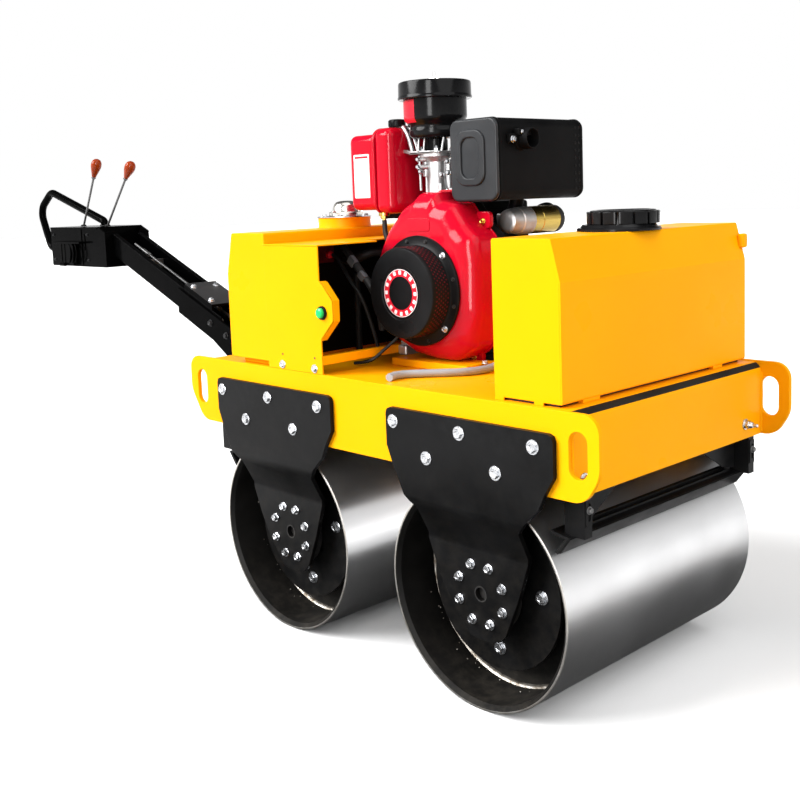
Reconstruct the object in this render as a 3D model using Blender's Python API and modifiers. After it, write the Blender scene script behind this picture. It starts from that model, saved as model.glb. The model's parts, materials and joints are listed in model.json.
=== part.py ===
"""Walk-behind double drum roller: two smooth drums in a low chassis, a single-cylinder engine, a water
tank in front, an oil tank with the pump compartment behind, and a handle that folds up for transport.

Metres, +Z up, +X forward (towards the water tank), +Y to the machine's left. Every size below is in the
machine's own frame: on the ground, midway between the two axles. The last step moves the whole machine
along X, so that the origin is under the middle of its box.
"""

from math import cos, pi, radians, sin, sqrt, tan

import bmesh
import bpy
from mathutils import Matrix, Vector

GAP = 0.0003

# Drums
WHEELBASE = 0.565
AXLE_X = WHEELBASE / 2
DRUM_RADIUS = 0.2125
DRUM_WALL = 0.012
DRUM_HALF = 0.300
BULKHEAD_OUT = DRUM_HALF - 0.105
BULKHEAD = 0.010
DISC_RADIUS = DRUM_RADIUS - 0.0585
DISC_IN = DRUM_HALF - 0.065
DISC = 0.008
BUFFER_RADIUS = 0.025
BUFFER_CIRCLE = DISC_RADIUS - 0.042
SLEEVE_RADIUS = 0.0597
JOURNAL_RADIUS = 0.020
JOURNAL_OUT = DRUM_HALF - 0.032

# Chassis: the side plates stand just outside the drums and just over them
SIDE_IN = DRUM_HALF + 0.007
SIDE_SHEET = 0.010
SIDE_OUT = SIDE_IN + SIDE_SHEET
SIDE_LOW = 2 * DRUM_RADIUS + 0.012
SIDE_TOP = SIDE_LOW + 0.148
BEAM_FRONT = AXLE_X + DRUM_RADIUS + 0.022
BEAM_REAR = -AXLE_X - DRUM_RADIUS - 0.040
EAR_FRONT = BEAM_FRONT + 0.060
EAR_REAR = BEAM_REAR - 0.061
SLOT_WIDTH = 0.037
SLOT_HEIGHT = 0.079
SLOT_Z = SIDE_LOW + 0.0785
SLOT_FROM_END = 0.042
DECK_TOP = SIDE_TOP - 0.002
DECK_SHEET = 0.010
BEND_RADIUS = 0.018

# Drum brackets and hubs
BRACKET_SHEET = 0.010
BRACKET_TOP = SIDE_TOP - 0.039
BRACKET_STEP = 0.045
BRACKET_IN = SIDE_OUT + GAP
FOLD_TOP = SIDE_LOW - 0.054
FOLD_LOW = FOLD_TOP - 0.080
BIG_BOLT = 0.010
BIG_HEAD = 0.0057
SMALL_BOLT = 0.0075
SMALL_HEAD = 0.006
HUB_CIRCLE = 0.057
HUB_RADIUS = 0.075
HUB_FACE = BRACKET_IN - BRACKET_STEP
HUB_IN = JOURNAL_OUT - 0.019
HUB_BORE_END = JOURNAL_OUT + 0.001

# Scrapers
SCRAPER_HALF = DRUM_HALF - 0.010
SCRAPER_GAP = 0.0055
SCRAPER_ANGLE = radians(34)
SCRAPER_LEAN = radians(52)
SCRAPER_WIDTH = 0.042
SCRAPER_SHEET = 0.006
SCRAPER_LEDGE = 0.034
POST_WIDTH = 0.020
POST_IN = SCRAPER_HALF - 0.032

# Water tank
TANK_FRONT = BEAM_FRONT - 0.028
TANK_REAR = TANK_FRONT - 0.148
TANK_HALF = SIDE_IN - 0.012
TANK_TOP = DECK_TOP + 0.279
TANK_BEND_Z = TANK_TOP - 0.072
TANK_BEND = 0.019
TANK_CAP = (TANK_FRONT - 0.077, -0.020)

# Oil tank housing and pump compartment
HOUSING_REAR = BEAM_REAR + 0.105
HOUSING_FRONT = HOUSING_REAR + 0.142
HOUSING_HALF = SIDE_OUT - 0.005
HOUSING_LOW = DECK_TOP + 0.013
HOUSING_TOP = DECK_TOP + 0.288
HOUSING_BEND_Z = HOUSING_TOP - 0.089
HOUSING_BEND = 0.022
NECK_AT = (HOUSING_FRONT - 0.061, -0.020)
PANEL_SHEET = 0.003
PANEL_FRONT = -0.103
PANEL_REAR = HOUSING_FRONT + 0.004
TAB_FRONT = PANEL_FRONT + 0.043
ROOF_TOP = HOUSING_TOP - 0.023

# Engine
MOUNT_TOP = DECK_TOP + 0.016
CRANK_Z = MOUNT_TOP + 0.145
SHROUD_NEAR = -0.134
SHROUD_FAR = -0.0553
BLOCK_REAR = -0.095
BLOCK_FRONT = 0.125
BLOCK_FAR = 0.200
HEAD_TOP = CRANK_Z + 0.1777
FUEL_LOW = HEAD_TOP - 0.0217
FUEL_TOP = FUEL_LOW + 0.185
FLANGE_TOP = HEAD_TOP + 0.1083
INTAKE_AT = (-0.043, -0.028)
CLEANER_AT = (-0.045, -0.027)
FUEL_CAP_AT = (-0.128, -0.061)
STARTER_RADIUS = 0.029
GUARD_FAR = BLOCK_FAR + 0.050
PUMP_AT = (HOUSING_FRONT + 0.088, CRANK_Z - 0.044)
PUMP_RADIUS = 0.045

# Handle: places along it are measured from its pin
PIVOT = Vector((BEAM_REAR - 0.105, 0, SIDE_LOW + 0.078))
PIN_RADIUS = 0.010
ARM_SLOPE = 0.400
ARM_AT = (PIVOT.x - 0.248, PIVOT.z + 0.060)
ARM_DEPTH = 0.062
ARM_HALF = 0.050
ARM_SHEET = 0.005
ARM_FRONT = PIVOT.x - 0.220
BASE_REAR = PIVOT.x - 0.421
BASE_SHEET = 0.006
BASE_DEEPER = 0.010
CHEEK_SHEET = 0.010
CHEEK_GAP = 0.005
BOX_FRONT = PIVOT.x - 0.784
BOX_REAR = BOX_FRONT - 0.363
BOX_HALF = 0.076
BOX_HEIGHT = 0.124
BOX_SHEET = 0.005
LOOP_TUBE = 0.0125
LOOP_Y = 0.030
LEVER_Y = -0.030

LEFT, RIGHT = 1, -1
SIDES = {"left": LEFT, "right": RIGHT}

# Looks: colour, roughness, metallic
LOOKS = {
    "yellow_paint": ((0.95, 0.55, 0.01), 0.35, 0.0),
    "black_paint": ((0.02, 0.02, 0.02), 0.40, 0.0),
    "red_paint": ((0.70, 0.01, 0.02), 0.25, 0.0),
    "drum_steel": ((0.60, 0.60, 0.60), 0.30, 1.0),
    "dark_steel": ((0.10, 0.10, 0.10), 0.50, 0.6),
    "cast_aluminium": ((0.55, 0.55, 0.55), 0.45, 0.9),
    "bright_steel": ((0.75, 0.75, 0.75), 0.20, 1.0),
    "black_plastic": ((0.02, 0.02, 0.02), 0.50, 0.0),
    "grey_rubber": ((0.35, 0.36, 0.36), 0.60, 0.0),
    "green_plastic": ((0.0, 0.45, 0.12), 0.35, 0.0),
    "orange_plastic": ((0.60, 0.12, 0.02), 0.30, 0.0),
}

for leftover in list(bpy.data.objects):
    bpy.data.objects.remove(leftover, do_unlink=True)
parts = bpy.data.collections.new("double_drum_roller")
cutters = bpy.data.collections.new("cutters")
for group in (parts, cutters):
    bpy.context.scene.collection.children.link(group)


def empty(name, place, parent=None):
    """An empty at a place of the machine frame. It carries the pieces that move with it."""
    holder = bpy.data.objects.new(name, None)
    parts.objects.link(holder)
    holder.parent = parent
    holder["place"] = list(place)
    holder.location = Vector(place) - (Vector(parent["place"]) if parent else Vector())
    return holder


machine = empty("machine", (0, 0, 0))
fold = empty("handle_fold", PIVOT, machine)
spin = {
    "front": empty("front_drum_spin", (AXLE_X, 0, DRUM_RADIUS), machine),
    "rear": empty("rear_drum_spin", (-AXLE_X, 0, DRUM_RADIUS), machine),
}


def material(look):
    if look in bpy.data.materials:
        return bpy.data.materials[look]
    colour, roughness, metallic = LOOKS[look]
    made = bpy.data.materials.new(look)
    made.use_nodes = True
    shader = made.node_tree.nodes["Principled BSDF"]
    shader.inputs["Base Color"].default_value = (*colour, 1)
    shader.inputs["Roughness"].default_value = roughness
    shader.inputs["Metallic"].default_value = metallic
    return made


def add(name, data, look, place=(0, 0, 0), turn=(0, 0, 0), on=None):
    """Puts a mesh or curve in the scene. With no look it is a helper for a Boolean."""
    piece = bpy.data.objects.new(name, data)
    holder = on or machine
    piece.parent = holder
    piece.location = Vector(place) - Vector(holder["place"])
    piece.rotation_euler = turn
    if look:
        parts.objects.link(piece)
        data.materials.append(material(look))
    else:
        cutters.objects.link(piece)
        piece.hide_render = True
        piece.display_type = "WIRE"
    return piece


def soften(piece, width, segments=2):
    """Rounds the sharp edges of a piece."""
    bevel = piece.modifiers.new("rounded edges", "BEVEL")
    bevel.width = width
    bevel.segments = segments
    bevel.limit_method = "ANGLE"
    return piece


def combine(operation, piece, others):
    for other in others:
        step = piece.modifiers.new(f"{operation} {other.name}".lower(), "BOOLEAN")
        step.operation = operation
        step.object = other
    return piece


def cut(piece, *others):
    return combine("DIFFERENCE", piece, others)


def join(piece, *others):
    return combine("UNION", piece, others)


def boxes(name, look, corners, on=None):
    """One mesh of boxes, each given as (low corner, high corner)."""
    shape = bmesh.new()
    for low, high in corners:
        low, high = Vector(low), Vector(high)
        size = Matrix.Diagonal((*(high - low), 1))
        bmesh.ops.create_cube(shape, size=1, matrix=Matrix.Translation((low + high) / 2) @ size)
    return add_shape(name, shape, look, on)


def rod_between(shape, start, end, radius, sides):
    """Adds one rod from a start to an end to a bmesh."""
    start, end = Vector(start), Vector(end)
    turn = (end - start).to_track_quat("Z", "X").to_matrix().to_4x4()
    bmesh.ops.create_cone(
        shape, cap_ends=True, segments=sides, radius1=radius, radius2=radius,
        depth=(end - start).length, matrix=Matrix.Translation((start + end) / 2) @ turn,
    )


def rods(name, look, centres, radius, span, axis="Y", sides=24, on=None):
    """One mesh of parallel rods along an axis, over a span of it. A centre gives the other two axes."""
    shape = bmesh.new()
    for centre in centres:
        ends = [list(centre), list(centre)]
        for end, reached in zip(ends, sorted(span)):
            end.insert("XYZ".index(axis), reached)
        rod_between(shape, *ends, radius, sides)
    return add_shape(name, shape, look, on)


def add_shape(name, shape, look, on):
    mesh = bpy.data.meshes.new(name)
    shape.to_mesh(mesh)
    shape.free()
    piece = add(name, mesh, look, on=on)
    if on:
        mesh.transform(Matrix.Translation(-Vector(on["place"])))
        piece.location = (0, 0, 0)
    return piece


PLANES = {"XY": (0, 0, 0), "XZ": (pi / 2, 0, 0), "YZ": (pi / 2, 0, pi / 2)}


def prism(name, look, loops, span, plane="XZ", on=None):
    """A flat outline, with holes if more loops are given, extruded over a span of the third axis."""
    curve = bpy.data.curves.new(name, "CURVE")
    curve.dimensions = "2D"
    curve.fill_mode = "BOTH"
    curve.extrude = abs(span[1] - span[0]) / 2
    for loop in loops:
        spline = curve.splines.new("POLY")
        spline.points.add(len(loop) - 1)
        for point, (across, along) in zip(spline.points, loop):
            point.co = (across, along, 0, 1)
        spline.use_cyclic_u = True
    place = [0, 0, 0]
    place[{"XY": 2, "XZ": 1, "YZ": 0}[plane]] = sum(span) / 2
    guide = add(name + " outline", curve, None)
    mesh = bpy.data.meshes.new_from_object(guide.evaluated_get(bpy.context.evaluated_depsgraph_get()))
    bpy.data.objects.remove(guide, do_unlink=True)
    shape = bmesh.new()
    shape.from_mesh(mesh)
    bmesh.ops.remove_doubles(shape, verts=shape.verts, dist=1e-6)
    bmesh.ops.dissolve_limit(shape, angle_limit=radians(0.1), verts=shape.verts, edges=shape.edges)
    bmesh.ops.recalc_face_normals(shape, faces=shape.faces)
    shape.to_mesh(mesh)
    shape.free()
    mesh.name = name
    return add(name, mesh, look, place, PLANES[plane], on)


def turned(name, look, profile, place, axis="Z", steps=32, closed=False, tilt=0.0, on=None):
    """A turned piece. Its profile of (radius, height) runs down the outside, from the top."""
    shape = bmesh.new()
    points = [shape.verts.new((radius, 0, height)) for radius, height in profile]
    for first, second in zip(points, points[1:]):
        shape.edges.new((first, second))
    if closed:
        shape.edges.new((points[-1], points[0]))
    mesh = bpy.data.meshes.new(name)
    shape.to_mesh(mesh)
    shape.free()
    turn = {"X": (0, pi / 2, 0), "Y": (-pi / 2, 0, 0), "Z": (0, tilt, 0)}[axis]
    piece = add(name, mesh, look, place, turn, on)
    screw = piece.modifiers.new("turning", "SCREW")
    screw.steps = screw.render_steps = steps
    screw.use_merge_vertices = True
    screw.merge_threshold = 1e-5
    screw.use_smooth_shade = True
    return piece


def tube(name, look, route, radius, resolution=3, on=None):
    """A round tube along a route of points."""
    curve = bpy.data.curves.new(name, "CURVE")
    curve.dimensions = "3D"
    curve.bevel_depth = radius
    curve.bevel_resolution = resolution
    curve.use_fill_caps = True
    spline = curve.splines.new("POLY")
    spline.points.add(len(route) - 1)
    start = Vector((on or machine)["place"])
    for point, place in zip(spline.points, route):
        point.co = (*(Vector(place) - start), 1)
    piece = add(name, curve, look, on=on)
    piece.location = (0, 0, 0)
    return piece


def rounded(corners, radius, steps=4, closed=True):
    """The corners with each one rounded by an arc. A corner may give its own radius as a third number."""
    result = []
    count = len(corners)
    for index, corner in enumerate(corners):
        here = Vector(corner[:2])
        reach = corner[2] if len(corner) > 2 else radius
        if reach == 0 or (not closed and index in (0, count - 1)):
            result.append(tuple(here))
            continue
        before = (Vector(corners[index - 1][:2]) - here).normalized()
        after = (Vector(corners[(index + 1) % count][:2]) - here).normalized()
        half = before.angle(after) / 2
        centre = here + (before + after).normalized() * (reach / sin(half))
        start = here + before * (reach / tan(half)) - centre
        sweep = start.angle_signed(here + after * (reach / tan(half)) - centre)
        for step in range(steps + 1):
            result.append(tuple(centre + Matrix.Rotation(-sweep * step / steps, 2) @ start))
    return result


def circle(centre, radius, sides=24, start=0.0):
    angles = [start + 2 * pi * n / sides for n in range(sides)]
    return [(centre[0] + radius * cos(angle), centre[1] + radius * sin(angle)) for angle in angles]


def span_out(side, inner, outer):
    """A span of Y from an inner to an outer distance, on one side of the machine."""
    return (side * inner, side * outer)


# Chassis: two side plates with lashing ears, and one sheet that is bent down at both ends

SIDE_OUTLINE = rounded(
    [
        (EAR_REAR, SIDE_TOP, 0.030), (EAR_FRONT, SIDE_TOP, 0.030), (EAR_FRONT, SLOT_Z - 0.030, 0.020),
        (EAR_FRONT - 0.030, SIDE_LOW, 0.015), (EAR_REAR + 0.045, SIDE_LOW, 0.015),
        (EAR_REAR, SLOT_Z - 0.010, 0.020),
    ],
    0.010,
)


def slot(centre_x):
    half, high = SLOT_WIDTH / 2, SLOT_HEIGHT / 2
    corners = [
        (centre_x - half, SLOT_Z - high), (centre_x + half, SLOT_Z - high),
        (centre_x + half, SLOT_Z + high), (centre_x - half, SLOT_Z + high),
    ]
    return rounded(corners, half * 0.999)


for word, side in SIDES.items():
    prism(
        f"frame_side_{word}", "yellow_paint",
        [SIDE_OUTLINE, slot(EAR_FRONT - SLOT_FROM_END), slot(EAR_REAR + SLOT_FROM_END + 0.005)],
        span_out(side, SIDE_IN, SIDE_OUT),
    )

deck_outline = rounded(
    [
        (BEAM_REAR, SIDE_LOW, 0), (BEAM_REAR, DECK_TOP, BEND_RADIUS),
        (BEAM_FRONT, DECK_TOP, BEND_RADIUS), (BEAM_FRONT, SIDE_LOW, 0),
        (BEAM_FRONT - DECK_SHEET, SIDE_LOW, 0),
        (BEAM_FRONT - DECK_SHEET, DECK_TOP - DECK_SHEET, BEND_RADIUS - DECK_SHEET),
        (BEAM_REAR + DECK_SHEET, DECK_TOP - DECK_SHEET, BEND_RADIUS - DECK_SHEET),
        (BEAM_REAR + DECK_SHEET, SIDE_LOW, 0),
    ],
    0,
)
prism("chassis_deck", "yellow_paint", [deck_outline], (-SIDE_IN + GAP, SIDE_IN - GAP))

# Drum brackets: a folded sheet, cut to its outline, with the heads of its bolts and of the hub's bolts.
# Outline points are (forward of the axle, height).

BRACKET_OUTLINE = [
    (-0.190, BRACKET_TOP, 0.012), (0.210, BRACKET_TOP, 0.012), (0.210, BRACKET_TOP - 0.073),
    (0.1905, BRACKET_TOP - 0.104), (0.1765, BRACKET_TOP - 0.133), (0.120, BRACKET_TOP - 0.188),
    (0.1135, FOLD_LOW - 0.011), (0.0895, DRUM_RADIUS + 0.0085), (0.0595, DRUM_RADIUS - 0.0615),
    (0.045, DRUM_RADIUS - 0.087, 0.040), (-0.030, DRUM_RADIUS - 0.087, 0.030),
    (-0.0875, DRUM_RADIUS - 0.0105), (-0.1065, DRUM_RADIUS + 0.0235), (-0.1305, FOLD_LOW - 0.010),
    (-0.1275, BRACKET_TOP - 0.188), (-0.1415, BRACKET_TOP - 0.176), (-0.1745, BRACKET_TOP - 0.110),
    (-0.190, BRACKET_TOP - 0.073),
]
BRACKET_BOLTS = [
    (-0.170, BRACKET_TOP - 0.026), (0.0, BRACKET_TOP - 0.026), (0.168, BRACKET_TOP - 0.026),
    (-0.084, BRACKET_TOP - 0.084), (0.084, BRACKET_TOP - 0.084),
]
HUB_BOLTS = 8
HUB_HOLE = 0.0125


def folded_sheet(name, side, low_x, high_x):
    """The bracket's sheet before it is cut: upright, then slanted inwards, then upright again."""
    drop = DRUM_RADIUS - 0.100
    outer = [(BRACKET_IN + BRACKET_SHEET, BRACKET_TOP + 0.01), (BRACKET_IN, BRACKET_TOP + 0.01)]
    inner_face = [(BRACKET_IN, FOLD_TOP), (HUB_FACE, FOLD_LOW), (HUB_FACE, drop)]
    outer_face = [
        (HUB_FACE + BRACKET_SHEET, drop), (HUB_FACE + BRACKET_SHEET, FOLD_LOW),
        (BRACKET_IN + BRACKET_SHEET, FOLD_TOP),
    ]
    section = [(side * across, height) for across, height in outer + inner_face + outer_face]
    return prism(name, None, [section], (low_x, high_x), "YZ")


def bracket(end, word, side, axle_x):
    name = f"drum_bracket_{end}_{word}"
    loops = [
        [(axle_x + across, height) for across, height in rounded(BRACKET_OUTLINE, 0.006, 2)],
        circle((axle_x, DRUM_RADIUS), HUB_HOLE, 16),
    ]
    piece = prism(name, "black_paint", loops, span_out(side, HUB_FACE - 0.02, BRACKET_IN + 0.03))
    sheet = folded_sheet(name + " sheet", side, axle_x - 0.25, axle_x + 0.25)
    combine("INTERSECT", piece, [sheet])
    face = BRACKET_IN + BRACKET_SHEET
    centres = [(axle_x + across, height) for across, height in BRACKET_BOLTS]
    span = span_out(side, face - 0.002, face + BIG_HEAD)
    bolts = rods(name + " bolts", None, centres, BIG_BOLT, span, sides=6)
    face = HUB_FACE + BRACKET_SHEET
    centres = circle((axle_x, DRUM_RADIUS), HUB_CIRCLE, HUB_BOLTS, pi / HUB_BOLTS)
    span = span_out(side, face - 0.002, face + SMALL_HEAD)
    small = rods(name + " hub bolts", None, centres, SMALL_BOLT, span, sides=6)
    join(piece, bolts, small)


def hub(end, word, side, axle_x):
    """The fixed bearing housing behind each bracket, with a blind bore for the drum's journal."""
    steps = 32
    bore = (JOURNAL_RADIUS + 0.0004) / cos(pi / steps)
    profile = [
        (0, HUB_FACE - GAP), (HUB_RADIUS, HUB_FACE - GAP), (HUB_RADIUS, HUB_IN + 0.006),
        (HUB_RADIUS - 0.006, HUB_IN), (bore, HUB_IN), (bore, HUB_BORE_END), (0, HUB_BORE_END),
    ]
    piece = turned(f"drum_hub_{end}_{word}", "dark_steel", profile, (axle_x, 0, DRUM_RADIUS), "Y", steps)
    if side == RIGHT:
        piece.rotation_euler.x = pi / 2


for end, forward in (("front", 1), ("rear", -1)):
    for word, side in SIDES.items():
        bracket(end, word, side, forward * AXLE_X)
        hub(end, word, side, forward * AXLE_X)

# Drums: a shell with two bulkheads, and an axle with its end discs and rubber buffers


def drum(end, turn_to):
    inner = DRUM_RADIUS - DRUM_WALL
    hole = SLEEVE_RADIUS + GAP
    lower, upper = BULKHEAD_OUT - BULKHEAD, BULKHEAD_OUT
    web_top = [(inner, upper), (hole, upper), (hole, lower), (inner, lower)]
    web_low = [(inner, -lower), (hole, -lower), (hole, -upper), (inner, -upper)]
    profile = [(DRUM_RADIUS, DRUM_HALF), (DRUM_RADIUS, -DRUM_HALF), (inner, -DRUM_HALF)]
    profile += web_low[::-1] + web_top[::-1] + [(inner, DRUM_HALF)]
    centre = spin[end]["place"]
    turned(f"{end}_drum", "drum_steel", profile, centre, "Y", 64, closed=True, on=spin[end])

    half = [
        (0, JOURNAL_OUT), (JOURNAL_RADIUS, JOURNAL_OUT), (JOURNAL_RADIUS, DISC_IN + DISC),
        (DISC_RADIUS, DISC_IN + DISC), (DISC_RADIUS, DISC_IN), (SLEEVE_RADIUS, DISC_IN),
    ]
    profile = half + [(radius, -height) for radius, height in half[::-1]]
    axle = turned(f"{end}_drum_axle", "black_paint", profile, centre, "Y", 32, on=spin[end])
    centres = circle((centre[0], centre[2]), BUFFER_CIRCLE, 4, turn_to)
    for word, side in SIDES.items():
        buffers = rods(
            f"{end} {word} buffers", None, centres, BUFFER_RADIUS,
            span_out(side, BULKHEAD_OUT + GAP, DISC_IN + 0.002), sides=16, on=spin[end],
        )
        heads = rods(
            f"{end} {word} buffer bolts", None, centres, 0.011,
            span_out(side, DISC_IN + 0.006, DISC_IN + DISC + 0.008), sides=6, on=spin[end],
        )
        join(axle, buffers, heads)


drum("front", radians(5))
drum("rear", radians(12))

# Scrapers: a leaning blade across each drum, hung from the chassis beam on two posts


def scraper(end, forward, beam):
    edge = DRUM_RADIUS + SCRAPER_GAP
    low = (AXLE_X + edge * cos(SCRAPER_ANGLE), DRUM_RADIUS + edge * sin(SCRAPER_ANGLE))
    lean = (cos(SCRAPER_LEAN), sin(SCRAPER_LEAN))
    top = (low[0] + SCRAPER_WIDTH * lean[0], low[1] + SCRAPER_WIDTH * lean[1])
    out = (SCRAPER_SHEET * lean[1], -SCRAPER_SHEET * lean[0])
    below = SCRAPER_WIDTH - 1.4 * SCRAPER_SHEET
    outline = [
        low, (low[0] + out[0], low[1] + out[1]), (top[0] + out[0], top[1] + out[1]),
        (top[0] - SCRAPER_LEDGE, top[1] + 0.004), (top[0] - SCRAPER_LEDGE, top[1] - 0.002),
        (low[0] + below * lean[0], low[1] + below * lean[1]),
    ]
    outline = [(forward * across, height) for across, height in outline]
    piece = prism(f"{end}_scraper", "black_paint", [outline], (-SCRAPER_HALF, SCRAPER_HALF))
    inside = forward * (top[0] - 0.014)
    posts = boxes(
        f"{end} scraper posts", None,
        [
            (
                (min(beam, inside), min(side * POST_IN, side * (POST_IN + POST_WIDTH)), top[1] - 0.004),
                (max(beam, inside), max(side * POST_IN, side * (POST_IN + POST_WIDTH)), SIDE_LOW - GAP),
            )
            for side in SIDES.values()
        ],
    )
    join(piece, posts)


scraper("front", 1, BEAM_FRONT)
scraper("rear", -1, BEAM_REAR)

# Water tank

tank_outline = rounded(
    [
        (TANK_REAR, DECK_TOP + GAP), (TANK_FRONT, DECK_TOP + GAP), (TANK_FRONT, TANK_BEND_Z, 0.010),
        (TANK_FRONT - TANK_BEND, TANK_TOP), (TANK_REAR, TANK_TOP),
    ],
    0.006, 3,
)
prism("water_tank", "yellow_paint", [tank_outline], (-TANK_HALF, TANK_HALF))
cap_base, cap_flange, cap_top = TANK_TOP + GAP, TANK_TOP + 0.008, TANK_TOP + 0.038
turned(
    "water_tank_cap", "black_plastic",
    [
        (0, cap_top), (0.058, cap_top), (0.065, cap_top - 0.005), (0.065, cap_flange),
        (0.071, cap_flange - 0.001), (0.071, cap_base), (0, cap_base),
    ],
    (*TANK_CAP, 0),
)

# Oil tank housing behind the engine, with its filler

housing_outline = rounded(
    [
        (HOUSING_REAR, HOUSING_LOW), (HOUSING_FRONT, HOUSING_LOW), (HOUSING_FRONT, HOUSING_TOP),
        (HOUSING_REAR + HOUSING_BEND, HOUSING_TOP), (HOUSING_REAR, HOUSING_BEND_Z, 0.010),
    ],
    0.005, 3,
)
housing = prism("oil_tank_housing", "yellow_paint", [housing_outline], (-HOUSING_HALF, HOUSING_HALF))
FOOT_IN = 0.020
foot = boxes(
    "housing foot", None,
    [
        (
            (HOUSING_REAR + FOOT_IN, FOOT_IN - HOUSING_HALF, DECK_TOP + GAP),
            (HOUSING_FRONT - FOOT_IN, HOUSING_HALF - FOOT_IN, HOUSING_LOW + 0.004),
        )
    ],
)
join(housing, foot)
neck_base, neck_top, flange_top = HOUSING_TOP + GAP, HOUSING_TOP + 0.022, HOUSING_TOP + 0.030
turned(
    "oil_filler_neck", "yellow_paint",
    [
        (0, flange_top), (0.0585, flange_top), (0.0585, neck_top), (0.0555, neck_top),
        (0.0555, neck_base), (0, neck_base),
    ],
    (*NECK_AT, 0),
)
turned(
    "oil_breather_cap", "bright_steel",
    [
        (0, flange_top + 0.031), (0.014, flange_top + 0.028), (0.022, flange_top + 0.020),
        (0.024, flange_top + 0.011), (0.024, flange_top + 0.004), (0.018, flange_top + GAP),
        (0, flange_top + GAP),
    ],
    (*NECK_AT, 0), steps=24,
)

# Pump compartment: side panels, roof and cross bar

PANEL_TOP = ROOF_TOP - PANEL_SHEET - GAP
TAB_LOW, TAB_HIGH = SIDE_TOP + 0.111, SIDE_TOP + 0.153
panel_outline = [
    (PANEL_REAR, SIDE_TOP + GAP), (PANEL_FRONT, SIDE_TOP + GAP), (PANEL_FRONT, SIDE_TOP + 0.069),
    (TAB_FRONT, TAB_LOW), (TAB_FRONT, TAB_HIGH), (PANEL_FRONT + 0.010, SIDE_TOP + 0.188),
    (PANEL_FRONT, SIDE_TOP + 0.190), (PANEL_FRONT, PANEL_TOP), (PANEL_REAR, PANEL_TOP),
]
TAB_FLANGE = 0.016
for word, side in SIDES.items():
    panel = prism(
        f"compartment_panel_{word}", "yellow_paint", [panel_outline],
        span_out(side, SIDE_OUT - PANEL_SHEET, SIDE_OUT),
    )
    inner = side * (SIDE_OUT - TAB_FLANGE)
    outer = side * (SIDE_OUT - PANEL_SHEET / 2)
    flange = boxes(
        f"panel {word} flange", None,
        [
            (
                (TAB_FRONT - PANEL_SHEET, min(inner, outer), TAB_LOW + 0.001),
                (TAB_FRONT - 0.0002, max(inner, outer), TAB_HIGH - 0.001),
            )
        ],
    )
    join(panel, flange)
# The roof is open round the engine's fan and block
ROOF_OPEN_X, ROOF_OPEN_RIGHT, ROOF_OPEN_LEFT = -0.168, SHROUD_NEAR - 0.021, BLOCK_FAR + 0.035
roof_outline = [
    (HOUSING_FRONT + GAP, -SIDE_OUT), (PANEL_FRONT, -SIDE_OUT), (PANEL_FRONT, ROOF_OPEN_RIGHT),
    (ROOF_OPEN_X, ROOF_OPEN_RIGHT), (ROOF_OPEN_X, ROOF_OPEN_LEFT), (PANEL_FRONT, ROOF_OPEN_LEFT),
    (PANEL_FRONT, SIDE_OUT), (HOUSING_FRONT + GAP, SIDE_OUT),
]
prism("compartment_roof", "yellow_paint", [roof_outline], (ROOF_TOP - PANEL_SHEET, ROOF_TOP), "XY")
bar_end = SIDE_OUT - PANEL_SHEET - GAP
bar_low, bar_high = SIDE_TOP + 0.019, SIDE_TOP + 0.037
boxes(
    "compartment_cross_bar", "yellow_paint",
    [((PANEL_FRONT - 0.012, -bar_end, bar_low), (PANEL_FRONT, bar_end, bar_high))],
)
BUTTON_RADIUS = 0.0125
turned(
    "start_button", "green_plastic",
    [(0, 0.012), (0.010, 0.012), (BUTTON_RADIUS, 0.009), (BUTTON_RADIUS, 0), (0, 0)],
    (PANEL_FRONT + 0.008, -SIDE_OUT - GAP, TAB_LOW + 0.016), "Y", 24,
).rotation_euler.x = pi / 2

# Engine: its mount, one plain block, and what is bolted to it

boxes(
    "engine_mount", "yellow_paint",
    [((-0.087, SHROUD_NEAR - 0.006, DECK_TOP + GAP), (0.130, BLOCK_FAR + 0.010, MOUNT_TOP))],
)
block = boxes(
    "engine_block", "black_paint",
    [((BLOCK_REAR, SHROUD_FAR + GAP, MOUNT_TOP + GAP), (BLOCK_FRONT, BLOCK_FAR, CRANK_Z + 0.041))],
)
head = boxes(
    "engine head", None, [((-0.090, SHROUD_FAR + 0.0053, CRANK_Z + 0.036), (0.088, 0.160, HEAD_TOP - GAP))]
)
tank_rest = boxes(
    "fuel tank rest", None, [((-0.200, -0.045, FUEL_LOW - 0.0103), (-0.085, 0.045, FUEL_LOW - GAP))]
)
join(block, head, tank_rest)

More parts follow.
